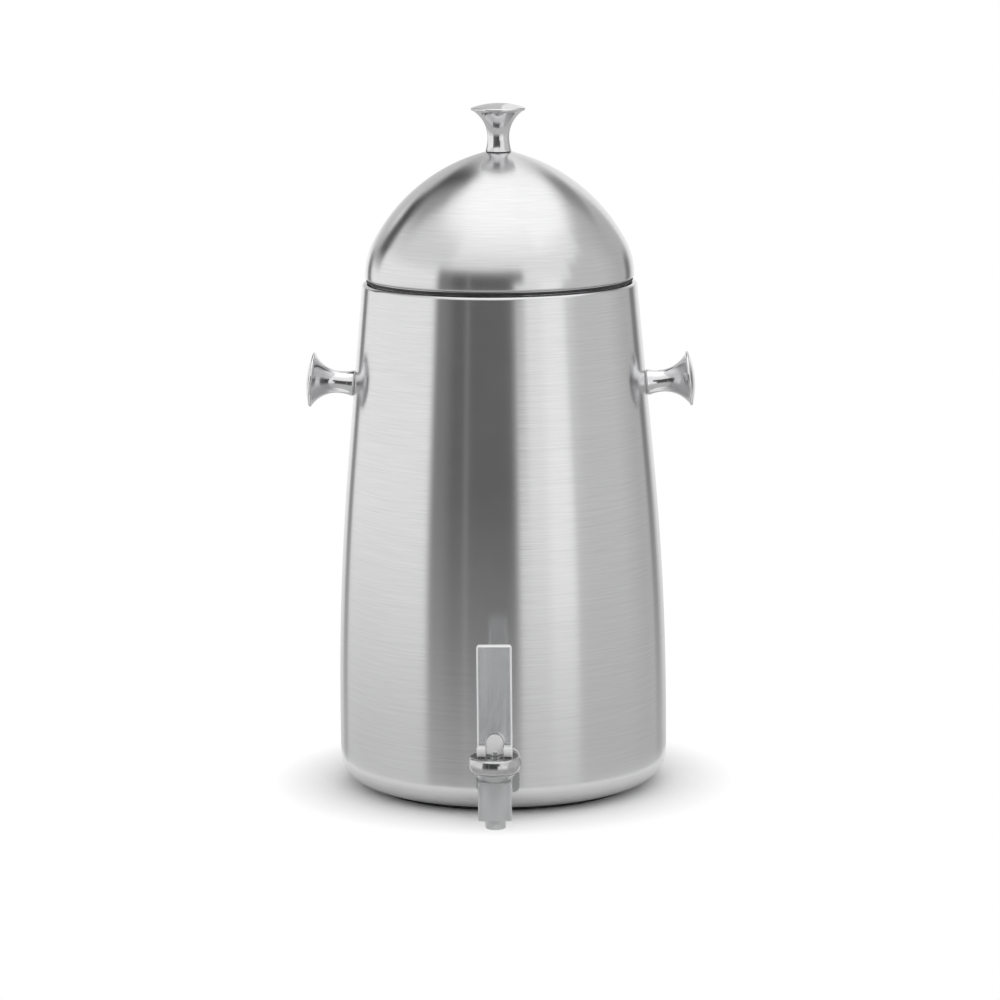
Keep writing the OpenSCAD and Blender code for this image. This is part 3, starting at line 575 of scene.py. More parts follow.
def math_node(tree, operation, first, second):
    """Adds a Math node between two sockets or numbers and returns its result."""
    return add_node(tree, "ShaderNodeMath", {"operation": operation}, {0: first, 1: second}).outputs[0]


def vector_node(tree, operation, inputs):
    """Adds a Vector Math node and returns its results."""
    return add_node(tree, "ShaderNodeVectorMath", {"operation": operation}, inputs).outputs


def remap(tree, value, low, high, to_low=0.0, to_high=1.0):
    """Maps a value from one range to another, with its ends held."""
    ends = {"From Min": low, "From Max": high, "To Min": to_low, "To Max": to_high}
    node = add_node(tree, "ShaderNodeMapRange", {"clamp": True}, {"Value": value, **ends})
    return node.outputs["Result"]


def mix_colours(tree, factor, first, second):
    """Mixes two colours by a factor and returns the colour socket."""
    node = add_node(tree, "ShaderNodeMix", {"data_type": "RGBA"}, {"Factor": factor})
    sockets = [s for s in node.inputs if s.type == "RGBA"]
    for socket, given in zip(sockets, (first, second)):
        socket.default_value = (*given, 1)
    return [s for s in node.outputs if s.type == "RGBA"][0]


def mix_levels(tree, factor, first, second):
    """Mixes two numbers or number sockets by a factor and returns the number socket."""
    levels = {"Factor": factor, "A": first, "B": second}
    return add_node(tree, "ShaderNodeMix", {"data_type": "FLOAT"}, levels).outputs[0]


def object_place(tree):
    """The place on a piece that is being shaded."""
    return add_node(tree, "ShaderNodeTexCoord").outputs["Object"]


def noise(tree, place_in, inputs, options=None):
    """Noise at a place, as a number around one half."""
    return add_node(tree, "ShaderNodeTexNoise", options, {"Vector": place_in, **inputs}).outputs[0]


def bump(tree, height, distance, strength):
    """The normal of a surface with this height."""
    inputs = {"Height": height, "Distance": distance, "Strength": strength}
    return add_node(tree, "ShaderNodeBump", None, inputs).outputs[0]


def new_group(name, inputs, outputs):
    """Starts a shader node group with number sockets."""
    tree = bpy.data.node_groups.new(name, "ShaderNodeTree")
    for label, default in inputs.items():
        socket = tree.interface.new_socket(name=label, in_out="INPUT", socket_type="NodeSocketFloat")
        socket.default_value = default
    for label in outputs:
        tree.interface.new_socket(name=label, in_out="OUTPUT", socket_type="NodeSocketFloat")
    return tree, tree.nodes.new("NodeGroupInput").outputs, tree.nodes.new("NodeGroupOutput")


def use_group(tree, name, inputs):
    """Places a shader node group in a material with its own values and returns its results."""
    return add_node(tree, "ShaderNodeGroup", {"node_tree": bpy.data.node_groups[name]}, inputs).outputs


def make_spun_brushing():
    """Fine grooves that run around the urn's axis, as on a piece brushed while it turns."""
    inputs = {"Lines": 1400.0, "Streaks": 3.0}
    tree, given, made = new_group("Spun Brushing", inputs, ["Groove", "Haze"])
    here = object_place(tree)
    split = add_node(tree, "ShaderNodeSeparateXYZ", None, {0: here}).outputs
    flat = add_node(tree, "ShaderNodeCombineXYZ", None, {"X": split["X"], "Y": split["Y"]}).outputs[0]
    radius = vector_node(tree, "LENGTH", {0: flat})["Value"]
    around = vector_node(tree, "NORMALIZE", {0: flat})[0]
    stretched = vector_node(tree, "SCALE", {0: around, "Scale": given["Streaks"]})[0]
    rise = math_node(tree, "MULTIPLY", split["Z"], given["Lines"])
    up = add_node(tree, "ShaderNodeCombineXYZ", None, {"Z": rise}).outputs[0]
    spot = vector_node(tree, "ADD", {0: stretched, 1: up})[0]
    inward = math_node(tree, "MULTIPLY", radius, given["Lines"])
    fine = {"W": inward, "Scale": 1.0, "Detail": 3.0, "Roughness": 0.65}
    grooves = noise(tree, spot, fine, {"noise_dimensions": "4D"})
    haze = noise(tree, here, {"Scale": 9.0, "Detail": 3.0, "Roughness": 0.55})
    feed(tree, made, {"Groove": remap(tree, grooves, 0.3, 0.7), "Haze": remap(tree, haze, 0.35, 0.65)})


def make_finger_marks():
    """Faint patches where a piece has been handled."""
    tree, given, made = new_group("Finger Marks", {"Size": 60.0}, ["Mark"])
    inputs = {"Scale": given["Size"], "Detail": 4.0, "Roughness": 0.6, "Distortion": 0.4}
    patches = noise(tree, object_place(tree), inputs)
    feed(tree, made, {"Mark": remap(tree, patches, 0.46, 0.70)})


def make_moulded_skin():
    """Fine unevenness of a moulded or cast surface."""
    tree, given, made = new_group("Moulded Skin", {"Fineness": 900.0}, ["Height", "Cloud"])
    here = object_place(tree)
    fine = noise(tree, here, {"Scale": given["Fineness"], "Detail": 2.0, "Roughness": 0.5})
    cloud = noise(tree, here, {"Scale": 45.0, "Detail": 3.0, "Roughness": 0.5})
    feed(tree, made, {"Height": fine, "Cloud": remap(tree, cloud, 0.35, 0.65)})


def new_material(name):
    """A material's node tree and its Principled shader."""
    material = bpy.data.materials.new(name)
    material.use_nodes = True
    return material.node_tree, material.node_tree.nodes["Principled BSDF"]


def make_brushed_metal(name, light, groove, lines, roughness, anisotropy):
    """Steel that was brushed while it turned, so it draws reflections out along its height."""
    tree, shader = new_material(name)
    brushing = use_group(tree, "Spun Brushing", {"Lines": lines})
    marks = use_group(tree, "Finger Marks", {"Size": 22.0})
    dull = remap(tree, brushing["Groove"], 0.0, 1.0, roughness + 0.02, roughness - 0.02)
    patchy = math_node(tree, "MULTIPLY", brushing["Haze"], 0.012)
    greasy = math_node(tree, "MULTIPLY", marks["Mark"], 0.008)
    uneven = math_node(tree, "ADD", patchy, greasy)
    tangent = add_node(tree, "ShaderNodeTangent", {"direction_type": "RADIAL", "axis": "Z"})
    inputs = {
        "Metallic": 1.0,
        "Anisotropic": anisotropy,
        "Anisotropic Rotation": 0.25,
        "Base Color": mix_colours(tree, brushing["Groove"], groove, light),
        "Roughness": math_node(tree, "ADD", dull, uneven),
        "Normal": bump(tree, brushing["Groove"], 0.00001, 0.10),
        "Tangent": tangent.outputs[0],
    }
    feed(tree, shader, inputs)


def make_polished_metal(name, clean, smudged, roughness):
    """Mirror-polished metal with faint finger marks."""
    tree, shader = new_material(name)
    mark = use_group(tree, "Finger Marks", {"Size": 85.0})["Mark"]
    skin = use_group(tree, "Moulded Skin", {"Fineness": 260.0})
    inputs = {
        "Metallic": 1.0,
        "Base Color": mix_colours(tree, mark, clean, smudged),
        "Roughness": remap(tree, mark, 0.0, 1.0, roughness, roughness + 0.07),
        "Normal": bump(tree, skin["Height"], 0.00002, 0.1),
    }
    feed(tree, shader, inputs)


def make_fastener_steel(name, steel):
    """Plain machined steel of screws, washers and the spring."""
    tree, shader = new_material(name)
    skin = use_group(tree, "Moulded Skin", {"Fineness": 700.0})
    darker = [0.72 * c for c in steel]
    inputs = {
        "Metallic": 1.0,
        "Base Color": mix_colours(tree, skin["Cloud"], darker, steel),
        "Roughness": remap(tree, skin["Cloud"], 0.0, 1.0, 0.42, 0.28),
        "Normal": bump(tree, skin["Height"], 0.00003, 0.3),
    }
    feed(tree, shader, inputs)


def make_clear_plastic(name, tint, transmission, roughness, coat):
    """Clear or frosted plastic under a glossy skin, with a little haze where it has been handled."""
    tree, shader = new_material(name)
    mark = use_group(tree, "Finger Marks", {"Size": 70.0})["Mark"]
    hazy = [0.96 * c for c in tint]
    inputs = {
        "IOR": 1.49,
        "Transmission Weight": transmission,
        "Coat Weight": coat,
        "Coat Roughness": 0.04,
        "Base Color": mix_colours(tree, mark, tint, hazy),
        "Roughness": remap(tree, mark, 0.0, 1.0, roughness, roughness + 0.05),
    }
    feed(tree, shader, inputs)


def make_soft_rubber(name, colour_low, colour_high, roughness, fineness):
    """Rubber or silicone with a cloudy tone and a fine moulded skin."""
    tree, shader = new_material(name)
    skin = use_group(tree, "Moulded Skin", {"Fineness": fineness})
    inputs = {
        "Specular IOR Level": 0.4,
        "Base Color": mix_colours(tree, skin["Cloud"], colour_low, colour_high),
        "Roughness": remap(tree, skin["Cloud"], 0.0, 1.0, roughness - 0.06, roughness + 0.08),
        "Normal": bump(tree, skin["Height"], 0.0001, 0.35),
    }
    feed(tree, shader, inputs)


def make_jacket(name, hollow, fibre):
    """Fibrous insulating blanket."""
    tree, shader = new_material(name)
    skin = use_group(tree, "Moulded Skin", {"Fineness": 420.0})
    inputs = {
        "Sheen Weight": 0.3,
        "Base Color": mix_colours(tree, skin["Height"], hollow, fibre),
        "Roughness": remap(tree, skin["Cloud"], 0.0, 1.0, 0.85, 0.97),
        "Normal": bump(tree, skin["Height"], 0.0008, 0.8),
    }
    feed(tree, shader, inputs)


class URN_OT_finishes(bpy.types.Operator):
    """Makes the urn's materials"""

    bl_idname = "urn.finishes"
    bl_label = "Finishes"

    def execute(self, context):
        look = context.scene.urn_finish
        make_spun_brushing()
        make_finger_marks()
        make_moulded_skin()
        make_brushed_metal(
            "Brushed steel",
            look.steel,
            look.steel_groove,
            lines=1400.0,
            roughness=look.body_roughness,
            anisotropy=look.body_anisotropy,
        )
        make_brushed_metal(
            "Vessel steel",
            look.vessel,
            look.vessel_groove,
            lines=1000.0,
            roughness=0.36,
            anisotropy=0.6,
        )
        make_polished_metal("Polished metal", look.chrome, look.chrome_smudge, look.chrome_roughness)
        # A darker copy of the polished metal: painted shade on the bonnet
        make_polished_metal("Bonnet metal with painted shade", look.bonnet, look.bonnet_smudge, look.chrome_roughness)
        make_fastener_steel("Fastener steel", look.fastener)
        make_clear_plastic(
            "Clear plastic", look.clear, look.clear_transmission, roughness=0.03, coat=0.0
        )
        make_clear_plastic(
            "Frosted plastic", look.frosted, look.frosted_transmission, look.frosting, coat=1.0
        )
        # Frosted white edges, partly a painted highlight for the light that clear edges catch
        make_clear_plastic("Matt edge and painted highlight", look.matt_and_highlight, look.edge_transmission, look.frosting, coat=1.0)
        make_soft_rubber("Black rubber", look.rubber, look.rubber_dust, roughness=0.55, fineness=800.0)
        make_soft_rubber("Silicone", look.silicone_dark, look.silicone, roughness=0.42, fineness=500.0)
        make_jacket("Jacket", look.felt_dark, look.felt)
        return {"FINISHED"}


def shell_section(body):
    """Section of the outer shell, from its lip underneath around its wall and rim and back inside."""
    flat = body.radius - body.corner
    corner_z = body.bottom + body.corner
    lean = math.degrees(body.lean)
    roll_z = body.rim - body.roll
    across, up = body.roll * math.cos(body.lean), body.roll * math.sin(body.lean)
    roll_r = wall_radius(body, roll_z + up) - across
    rim_lip = wall_radius(body, body.rim) - body.sheet - body.jacket + body.lip_gap
    outside = arc(flat, corner_z, body.corner, -90, 0, 20)
    outside += wall_line(body, corner_z, roll_z, 0)[1:]
    outside += arc(roll_r, roll_z, body.roll, lean, 90, 10)
    inside = arc(flat, corner_z, body.corner - body.sheet, -90, 0, 12)
    inside += wall_line(body, corner_z, roll_z, body.sheet)[1:]
    inside += arc(roll_r, roll_z, body.roll - body.sheet, lean, 90, 6)
    edge = flat - body.lip
    points = [(edge, body.bottom)] + outside
    points += [(rim_lip, body.rim), (rim_lip, body.rim - body.sheet)]
    points += inside[::-1]
    return points + [(edge, body.bottom + body.sheet), (edge, body.bottom)]


def drill_for_tap(context, wall):
    """Cuts the hole for the tap's shank through the front of a wall."""
    tap = context.scene.urn_tap
    start, end = (0, -tap.shank_in, tap.shank_z), (0, -tap.axis_y, tap.shank_z)
    combine(wall, add_rod("drill", start, end, tap.shank + tap.shank_gap, tap.facets), "DIFFERENCE")


class URN_OT_body(bpy.types.Operator):
    """Models the steel shell, the foot ring and the screws of the base"""

    bl_idname = "urn.body"
    bl_label = "Body"

    def execute(self, context):
        body = context.scene.urn_body
        shell = turn_piece("shell", shell_section(body), body.facets)
        drill_for_tap(context, shell)
        finish_piece(shell, "urn", "Brushed steel", "brushed_body", "outer_shell")
        foot = turn_ring("foot", FOOT_LOW, FOOT_HIGH, body.foot_width, body.foot_round, body.facets)
        finish_piece(foot, "urn", "Black rubber", "black_rubber", "foot_ring")
        self.model_screws(body)
        finish_nodes("Vessel steel", "base_plate")
        return {"FINISHED"}

    def model_screws(self, body):
        """Pan-head screws with a cross recess, modelled once and copied around the base."""
        head_r, head_h, thread_r = body.screw_head, body.screw_head_h, body.screw
        top = SCREWS_HIGH.z - SCREWS_LOW.z
        point_r, point_h = 0.6 * thread_r, 0.4 * thread_r
        edge = recess = 0.6 * head_h
        long, narrow = 0.55 * head_r, 0.14 * head_r
        section = [(0, 0)] + arc(head_r - edge, edge, edge, -90, 0, 6)
        section += [(head_r, head_h), (thread_r, head_h)]
        section += [(thread_r, top - point_h), (point_r, top), (0, top)]
        screw = turn_piece("base_screw_1", section, SMALL_FACETS)
        for x, y in ((long, narrow), (narrow, long)):
            combine(screw, add_box("recess", (-x, -y, -head_h), (x, y, recess)), "DIFFERENCE")
        circle = SCREWS_HIGH.x - head_r
        copies = [screw] + [copy_piece(screw, f"base_screw_{i + 1}") for i in range(1, body.screws)]
        for i, piece in enumerate(copies):
            turn = Matrix.Rotation(math.tau * i / body.screws, 4, "Z")
            place(piece, turn @ Matrix.Translation((circle, 0, SCREWS_LOW.z)))
            finish_piece(piece, "urn", "Fastener steel", "fastener_steel", "base_screws")


class URN_OT_vessel(bpy.types.Operator):
    """Models the vessel that holds the drink, and finishes the jacket around it"""

    bl_idname = "urn.vessel"
    bl_label = "Vessel"

    def execute(self, context):
        body = context.scene.urn_body
        low, sheet, corner = VESSEL_LOW.z, body.vessel_sheet, body.vessel_corner
        inset = body.sheet + body.jacket
        bend_z = low + corner
        flat = wall_radius(body, bend_z) - inset - corner
        outside = arc(flat, bend_z, corner, -90, 0, 12)
        outside += wall_line(body, bend_z, body.rim, inset)[1:]
        inside = arc(flat, bend_z, corner - sheet, -90, 0, 12)
        inside += wall_line(body, bend_z, body.rim, inset + sheet)[1:]
        mouth = inside[-1][0]
        flange, edge = outside[-1][0] + body.vessel_flange, sheet / 2
        lip = arc(flange - edge, body.rim + edge, edge, -90, 90, 6)
        lip += arc(mouth + edge, VESSEL_HIGH.z - edge, edge, 90, 180, 4)
        points = [(0, low)] + outside + lip + inside[::-1] + [(0, low + sheet)]
        vessel = turn_piece("vessel", points, body.facets)
        drill_for_tap(context, vessel)
        finish_piece(vessel, "urn", "Vessel steel", "inner_steel", "inner_vessel", "vessel_floor")
        finish_nodes("Jacket", "insulation_jacket")
        return {"FINISHED"}


def dome_line(lid, inset, steps):
    """Points up the dome's shoulder and crown to the flat at its top, set in from its outside."""
    shoulder = Vector((lid.radius - lid.shoulder, lid.hem_z + lid.hem_round))
    seat = Vector((lid.seat, lid.top_z)) - shoulder
    step = lid.crown - lid.shoulder
    reach = (lid.crown**2 - step**2 - seat.length_squared) / (2 * step)
    turn = math.atan2(seat.y, seat.x) - math.acos(reach / seat.length)
    crown = shoulder - step * Vector((math.cos(turn), math.sin(turn)))
    top = math.asin((lid.top_z - inset - crown.y) / (lid.crown - inset))
    low_arc = arc(*shoulder, lid.shoulder - inset, 0, math.degrees(turn), steps)
    high_arc = arc(*crown, lid.crown - inset, math.degrees(turn), math.degrees(top), steps)
    return low_arc + high_arc[1:]


class URN_OT_lid(bpy.types.Operator):
    """Models the dome, its liner and its gasket"""

    bl_idname = "urn.lid"
    bl_label = "Lid"

    def execute(self, context):
        lid, facets = context.scene.urn_lid, context.scene.urn_body.facets
        hem_x, hem_z, hem = lid.radius - lid.hem_round, lid.hem_z + lid.hem_round, lid.hem_round
        edge = lid.radius - lid.hem
        points = [(0, lid.top_z - lid.sheet)] + dome_line(lid, lid.sheet, 20)[::-1]
        points += arc(hem_x, hem_z, hem - lid.sheet, 0, -90, 4)
        points += [(edge, lid.hem_z + lid.sheet), (edge, lid.hem_z)]
        points += arc(hem_x, hem_z, hem, -90, 0, 8) + dome_line(lid, 0, 30)[1:] + [(0, lid.top_z)]
        dome = turn_piece("dome", points, facets)
        finish_piece(dome, "lid", "Brushed steel", "brushed_body", "lid_dome")
        self.model_liner(lid, facets)
        width, rounding = lid.gasket_width, lid.gasket_round
        gasket = turn_ring("gasket", GASKET_LOW, GASKET_HIGH, width, rounding, facets)
        finish_piece(gasket, "lid", "Black rubber", "black_rubber", "lid_gasket")
        return {"FINISHED"}

    def model_liner(self, lid, facets):
        """The pan under the dome, with the plug that hangs in the vessel's mouth."""
        low, high, sheet, corner = LINER_LOW.z, LINER_HIGH.z, lid.liner_sheet, lid.plug_corner
        turn_x, turn_z = lid.plug - corner, low + corner
        points = [(0, low)] + arc(turn_x, turn_z, corner, -90, 0, 8)
        points += [(lid.plug, high - sheet), (LINER_HIGH.x, high - sheet), (LINER_HIGH.x, high)]
        points += [(lid.plug - sheet, high)] + arc(turn_x, turn_z, corner - sheet, 0, -90, 8)
        liner = turn_piece("liner", points + [(0, low + sheet)], facets)
        finish_piece(liner, "lid", "Vessel steel", "inner_steel", "lid_liner")


def knob_section(knob):
    """Section of a knob: its foot draws in to a neck and flares out to a flange with a low crown."""
    edge_r = knob.flange - knob.edge
    foot_out = knob.foot - knob.neck
    foot_arc = (knob.neck_z**2 + foot_out**2) / (2 * foot_out)
    flare_up = knob.edge_z - knob.edge - knob.neck_z
    flare_out = edge_r - knob.neck
    flare_arc = (flare_up**2 + flare_out**2) / (2 * flare_out)
    cap_up = knob.height - knob.edge_z - knob.edge
    cap_arc = (edge_r**2 + cap_up**2) / (2 * cap_up)
    foot_turn = math.degrees(math.asin(knob.neck_z / foot_arc))
    flare_turn = math.degrees(math.asin(flare_up / flare_arc))
    cap_turn = math.degrees(math.asin(edge_r / cap_arc))
    bevel = knob.foot_round
    points = [(0, knob.thread), (knob.hole, knob.thread), (knob.hole, 0)]
    points += arc(knob.foot - bevel, bevel, bevel, -90, -10, 4)
    waist = arc(knob.neck + foot_arc, knob.neck_z, foot_arc, 180 + foot_turn, 180, 16)
    points += [p for p in waist if p[1] > 1.5 * bevel]
    points += arc(knob.neck + flare_arc, knob.neck_z, flare_arc, 180, 180 - flare_turn, 28)[1:]
    points += arc(edge_r, knob.edge_z, knob.edge, -90, 90, 10)
    return points + arc(0, knob.height - cap_arc, cap_arc, 90 - cap_turn, 90, 14)[1:]


class URN_OT_knobs(bpy.types.Operator):
    """Models one polished knob, copies it to the lid and both sides, and finishes what holds them"""

    bl_idname = "urn.knobs"
    bl_label = "Knobs"

    def execute(self, context):
        knob, body = context.scene.urn_knob, context.scene.urn_body
        lid_knob = turn_piece("lid_knob_turned", knob_section(knob), knob.facets)
        side_z = body.rim - knob.drop
        for side, name in ((-1, "left"), (1, "right")):
            piece = copy_piece(lid_knob, f"{name}_knob_turned")
            at = Matrix.Translation((side * wall_radius(body, side_z), 0, side_z))
            tip = Matrix.Rotation(side * (math.pi / 2 - body.lean), 4, "Y")
            place(piece, at @ tip @ Matrix.Translation((0, 0, knob.washer)))
            finish_piece(piece, "urn", "Polished metal", "polished_metal", f"{name}_handle_knob")
            finish_nodes("Silicone", f"{name}_handle_washer")
            finish_nodes("Vessel steel", f"{name}_handle_backing_plate")
            finish_nodes("Fastener steel", f"{name}_handle_screw")
        place(lid_knob, Matrix.Translation((0, 0, LID_KNOB_LOW.z)))
        finish_piece(lid_knob, "lid", "Polished metal", "polished_metal", "lid_knob")
        finish_nodes("Black rubber", "lid_knob_washer")
        finish_nodes("Fastener steel", "lid_knob_screw", "lid_knob_backing_washer")
        return {"FINISHED"}


def draw_out(name, outline, depth):
    """Fills a closed outline in the XZ plane and draws it out along Y, half to each side."""
    piece = draw_section(name, outline)
    bpy.ops.mesh.select_all(action="SELECT")
    bpy.ops.mesh.remove_doubles(threshold=MERGE)
    bpy.ops.mesh.edge_face_add()
    bpy.ops.transform.translate(value=(0, -depth / 2, 0))
    bpy.ops.mesh.extrude_region_move(TRANSFORM_OT_translate={"value": (0, depth, 0)})
    return close_mesh(piece)


def at_valve(tap):
    """The place of the valve's axis."""
    return Matrix.Translation((0, -tap.axis_y, 0))


def cut_pin_hole(tap, piece, half, y, z):
    """Cuts the hole that the pin goes through, along X."""
    hole = add_rod("hole", (-half, y, z), (half, y, z), tap.pin + tap.pin_gap, SMALL_FACETS)
    combine(piece, hole, "DIFFERENCE")


class URN_OT_tap(bpy.types.Operator):
    """Models the clear tap body and the polished bonnet, and finishes what clamps the tap"""

    bl_idname = "urn.tap"
    bl_label = "Tap"

    def execute(self, context):
        tap = context.scene.urn_tap
        moulding = self.model_outside(tap)
        self.cut_bores(tap, moulding)
        finish_piece(moulding, "urn", "Frosted plastic", "clear_plastic", "tap_body")
        self.model_bonnet(tap)
        finish_nodes("Vessel steel", "tap_ferrule")
        finish_nodes("Silicone", "tap_outer_gasket", "tap_inner_washer")
        finish_nodes("Clear plastic", "tap_nut")
        return {"FINISHED"}

    def model_outside(self, tap):
        """Square spout with its nozzle and collar, and the barrel, flange and shank behind it."""
        half, facets = tap.spout / 2, tap.facets
        spout = add_box("tap_moulding", (-half, -half, tap.spout_low), (half, half, tap.spout_high))
        bevel_edges(spout, tap.spout_corner, along_axis(2), 6)
        soften(spout, tap.edge)
        inside = tap.spout_low + tap.flange_t
        edge = tap.nozzle_edge
        section = [(0, tap.nozzle_z)]
        section += arc(tap.nozzle - edge, tap.nozzle_z + edge, edge, -90, 0, 6)
        section += [(tap.nozzle, inside), (0, inside)]
        combine(spout, turn_piece("nozzle", section, facets), "UNION")
        root = half - tap.edge
        collar_z = BONNET_LOW.z - tap.collar_band
        section = [(0, inside), (root, inside), (root, tap.spout_high)]
        section += [(tap.collar, collar_z), (tap.collar, BONNET_LOW.z), (tap.neck, BONNET_LOW.z)]
        section += [(tap.neck, tap.neck_top), (0, tap.neck_top)]
        combine(spout, turn_piece("collar", section, facets), "UNION")
        place(spout, at_valve(tap))
        back, z = -tap.flange_y, tap.shank_z
        barrel = add_rod("barrel", (0, back, z), (0, -tap.axis_y, z), tap.barrel, facets)
        combine(spout, barrel, "UNION")
        wide = tap.flange / 2
        flange = add_box("flange", (-wide, back - tap.flange_t, z - wide), (wide, back, z + wide))
        bevel_edges(flange, tap.flange_corner, along_axis(1), 8)
        soften(flange, tap.edge)
        combine(spout, flange, "UNION")
        end = (0, back - tap.flange_t / 2, z)
        combine(spout, add_rod("shank", (0, -tap.shank_in, z), end, tap.shank, facets), "UNION")
        return spout

    def cut_bores(self, tap, moulding):
        """The valve chamber, the outlet under it and the inlet through the shank."""
        y, z, past = -tap.axis_y, tap.shank_z, tap.flange_t
        cuts = [
            ("chamber", (0, y, tap.seat_z), (0, y, tap.neck_top + past), tap.chamber),
            ("outlet", (0, y, tap.nozzle_z - past), (0, y, tap.seat_z + past / 2), tap.outlet),
            ("inlet", (0, -tap.shank_in + past, z), (0, y, z), tap.inlet),
        ]
        for name, start, end, radius in cuts:
            combine(moulding, add_rod(name, start, end, radius, tap.facets), "DIFFERENCE")

    def model_bonnet(self, tap):
        """The ring cap that holds the valve down."""
        low, high, outer = BONNET_LOW.z, BONNET_HIGH.z, BONNET_HIGH.x
        low_r, top_r, bulge = tap.bonnet_low_round, tap.bonnet_top_round, tap.bonnet_bulge
        x, low_z, top_z = outer - bulge, low + low_r, high - top_r
        bulge_z = top_z - (bulge - top_r) * math.sin(tap.bonnet_slope)
        low_turn = math.asin((bulge_z - low_z) / (bulge - low_r))
        low_x = x + (bulge - low_r) * math.cos(low_turn)
        top_x = x + (bulge - top_r) * math.cos(tap.bonnet_slope)
        slope, under = math.degrees(tap.bonnet_slope), -math.degrees(low_turn)
        bore, hole, ledge = tap.bonnet_bore, tap.bonnet_hole, tap.ledge_z
        section = [(bore, low)] + arc(low_x, low_z, low_r, -90, under, 8)
        section += arc(x, bulge_z, bulge, under, slope, 16)[1:]
        section += arc(top_x, top_z, top_r, slope, 90, 10)[1:]
        section += [(hole, high), (hole, ledge), (bore, ledge)]
        bonnet = place(turn_piece("bonnet", section + section[:1], tap.facets), at_valve(tap))
        # The bonnet gets the darker copy of the polished metal, painted shade
        finish_piece(bonnet, "urn", "Bonnet metal with painted shade", "polished_metal", "tap_bonnet")


class URN_OT_valve(bpy.types.Operator):
    """Models the clear stem with its tongue, the seat cup and the spring"""

    bl_idname = "urn.valve"
    bl_label = "Valve"

    def execute(self, context):
        tap = context.scene.urn_tap
        self.model_stem(tap)
        self.model_cup(tap)
        self.model_spring(tap)
        return {"FINISHED"}

    def model_stem(self, tap):
        """A foot and a rod, with a flat round-topped tongue that the lever's pin goes through."""
        low, foot_top = STEM_LOW.z, STEM_LOW.z + tap.stem_foot_t
        wide = STEM_HIGH.x
        rod_top = tap.tongue_low + tap.stem / 2
        section = [(0, low), (tap.stem_foot, low), (tap.stem_foot, foot_top), (tap.stem, foot_top)]
        stem = turn_piece("stem", section + [(tap.stem, rod_top), (0, rod_top)], tap.facets)
        outline = [(-wide, tap.tongue_low), (wide, tap.tongue_low)]
        outline += arc(0, STEM_HIGH.z - wide, wide, 0, 180, 28)
        tongue = soften(draw_out("tongue", outline + outline[:1], tap.tongue_t), tap.slot_round, 4)
        combine(stem, tongue, "UNION")
        place(stem, at_valve(tap))
        cut_pin_hole(tap, stem, 2 * wide, -tap.axis_y, tap.pin_z)
        finish_piece(stem, "stem", "Clear plastic", "clear_plastic", "valve_stem")
        # The whole tongue gets the frosted white finish, partly a painted highlight for the light its
        # clear edges catch
        matt_highlight_edges(stem, lambda face: face.center.z > tap.tongue_low)

    def model_cup(self, tap):
        """The silicone cup that closes the outlet and keeps the drink from the spring."""
        wall, seat, flange_t = tap.cup_wall, tap.seat_z, tap.cup_flange_t
        top, neck = tap.ledge_z, tap.neck_top
        flare_z, flare = neck - flange_t, tap.chamber - tap.cup_gap
        tip, inner = tap.outlet - tap.cup_gap, tap.cup - wall
        flange = tap.neck - tap.cup_gap
        section = [(0, CUP_LOW.z), (tip - wall, CUP_LOW.z), (tip, seat), (tap.cup, seat)]
        section += [(tap.cup, flare_z - flange_t), (flare, flare_z), (flare, neck), (flange, neck)]
        section += [(flange, top), (flare - wall, top), (flare - wall, flare_z)]
        section += [(inner, flare_z - flange_t), (inner, STEM_LOW.z), (0, STEM_LOW.z)]
        cup = place(turn_piece("cup", section, tap.facets), at_valve(tap))
        finish_piece(cup, "urn", "Silicone", "silicone", "seat_cup")
        self.press(tap, cup, STEM_LOW.z)

    def model_spring(self, tap):
        """A round wire wound around the stem, with its two ends filled."""
        wire = tap.wire / 2
        mean = (tap.stem + tap.cup - tap.cup_wall) / 2
        low, high = SPRING_LOW.z + wire, SPRING_HIGH.z - wire
        clear_selection()
        bpy.ops.mesh.primitive_circle_add(vertices=12, radius=wire, rotation=(math.pi / 2, 0, 0))
        spring = name_piece("spring")
        place(spring, Matrix.Translation((mean, 0, low)) @ spring.matrix_world)
        winding = {"axis": "Z", "angle": math.tau, "iterations": tap.turns}
        winding["screw_offset"] = (high - low) / tap.turns
        winding["steps"] = winding["render_steps"] = SMALL_FACETS
        apply_step(spring, "Winding", "SCREW", winding)
        edit(spring)
        bpy.ops.mesh.fill_holes(sides=0)
        close_mesh(spring)
        place(spring, at_valve(tap))
        finish_piece(spring, "urn", "Fastener steel", "fastener_steel", "tap_spring")
        self.press(tap, spring, SPRING_LOW.z)

    def press(self, tap, piece, low):
        """Gives a piece a mesh of its own."""
        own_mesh(piece)


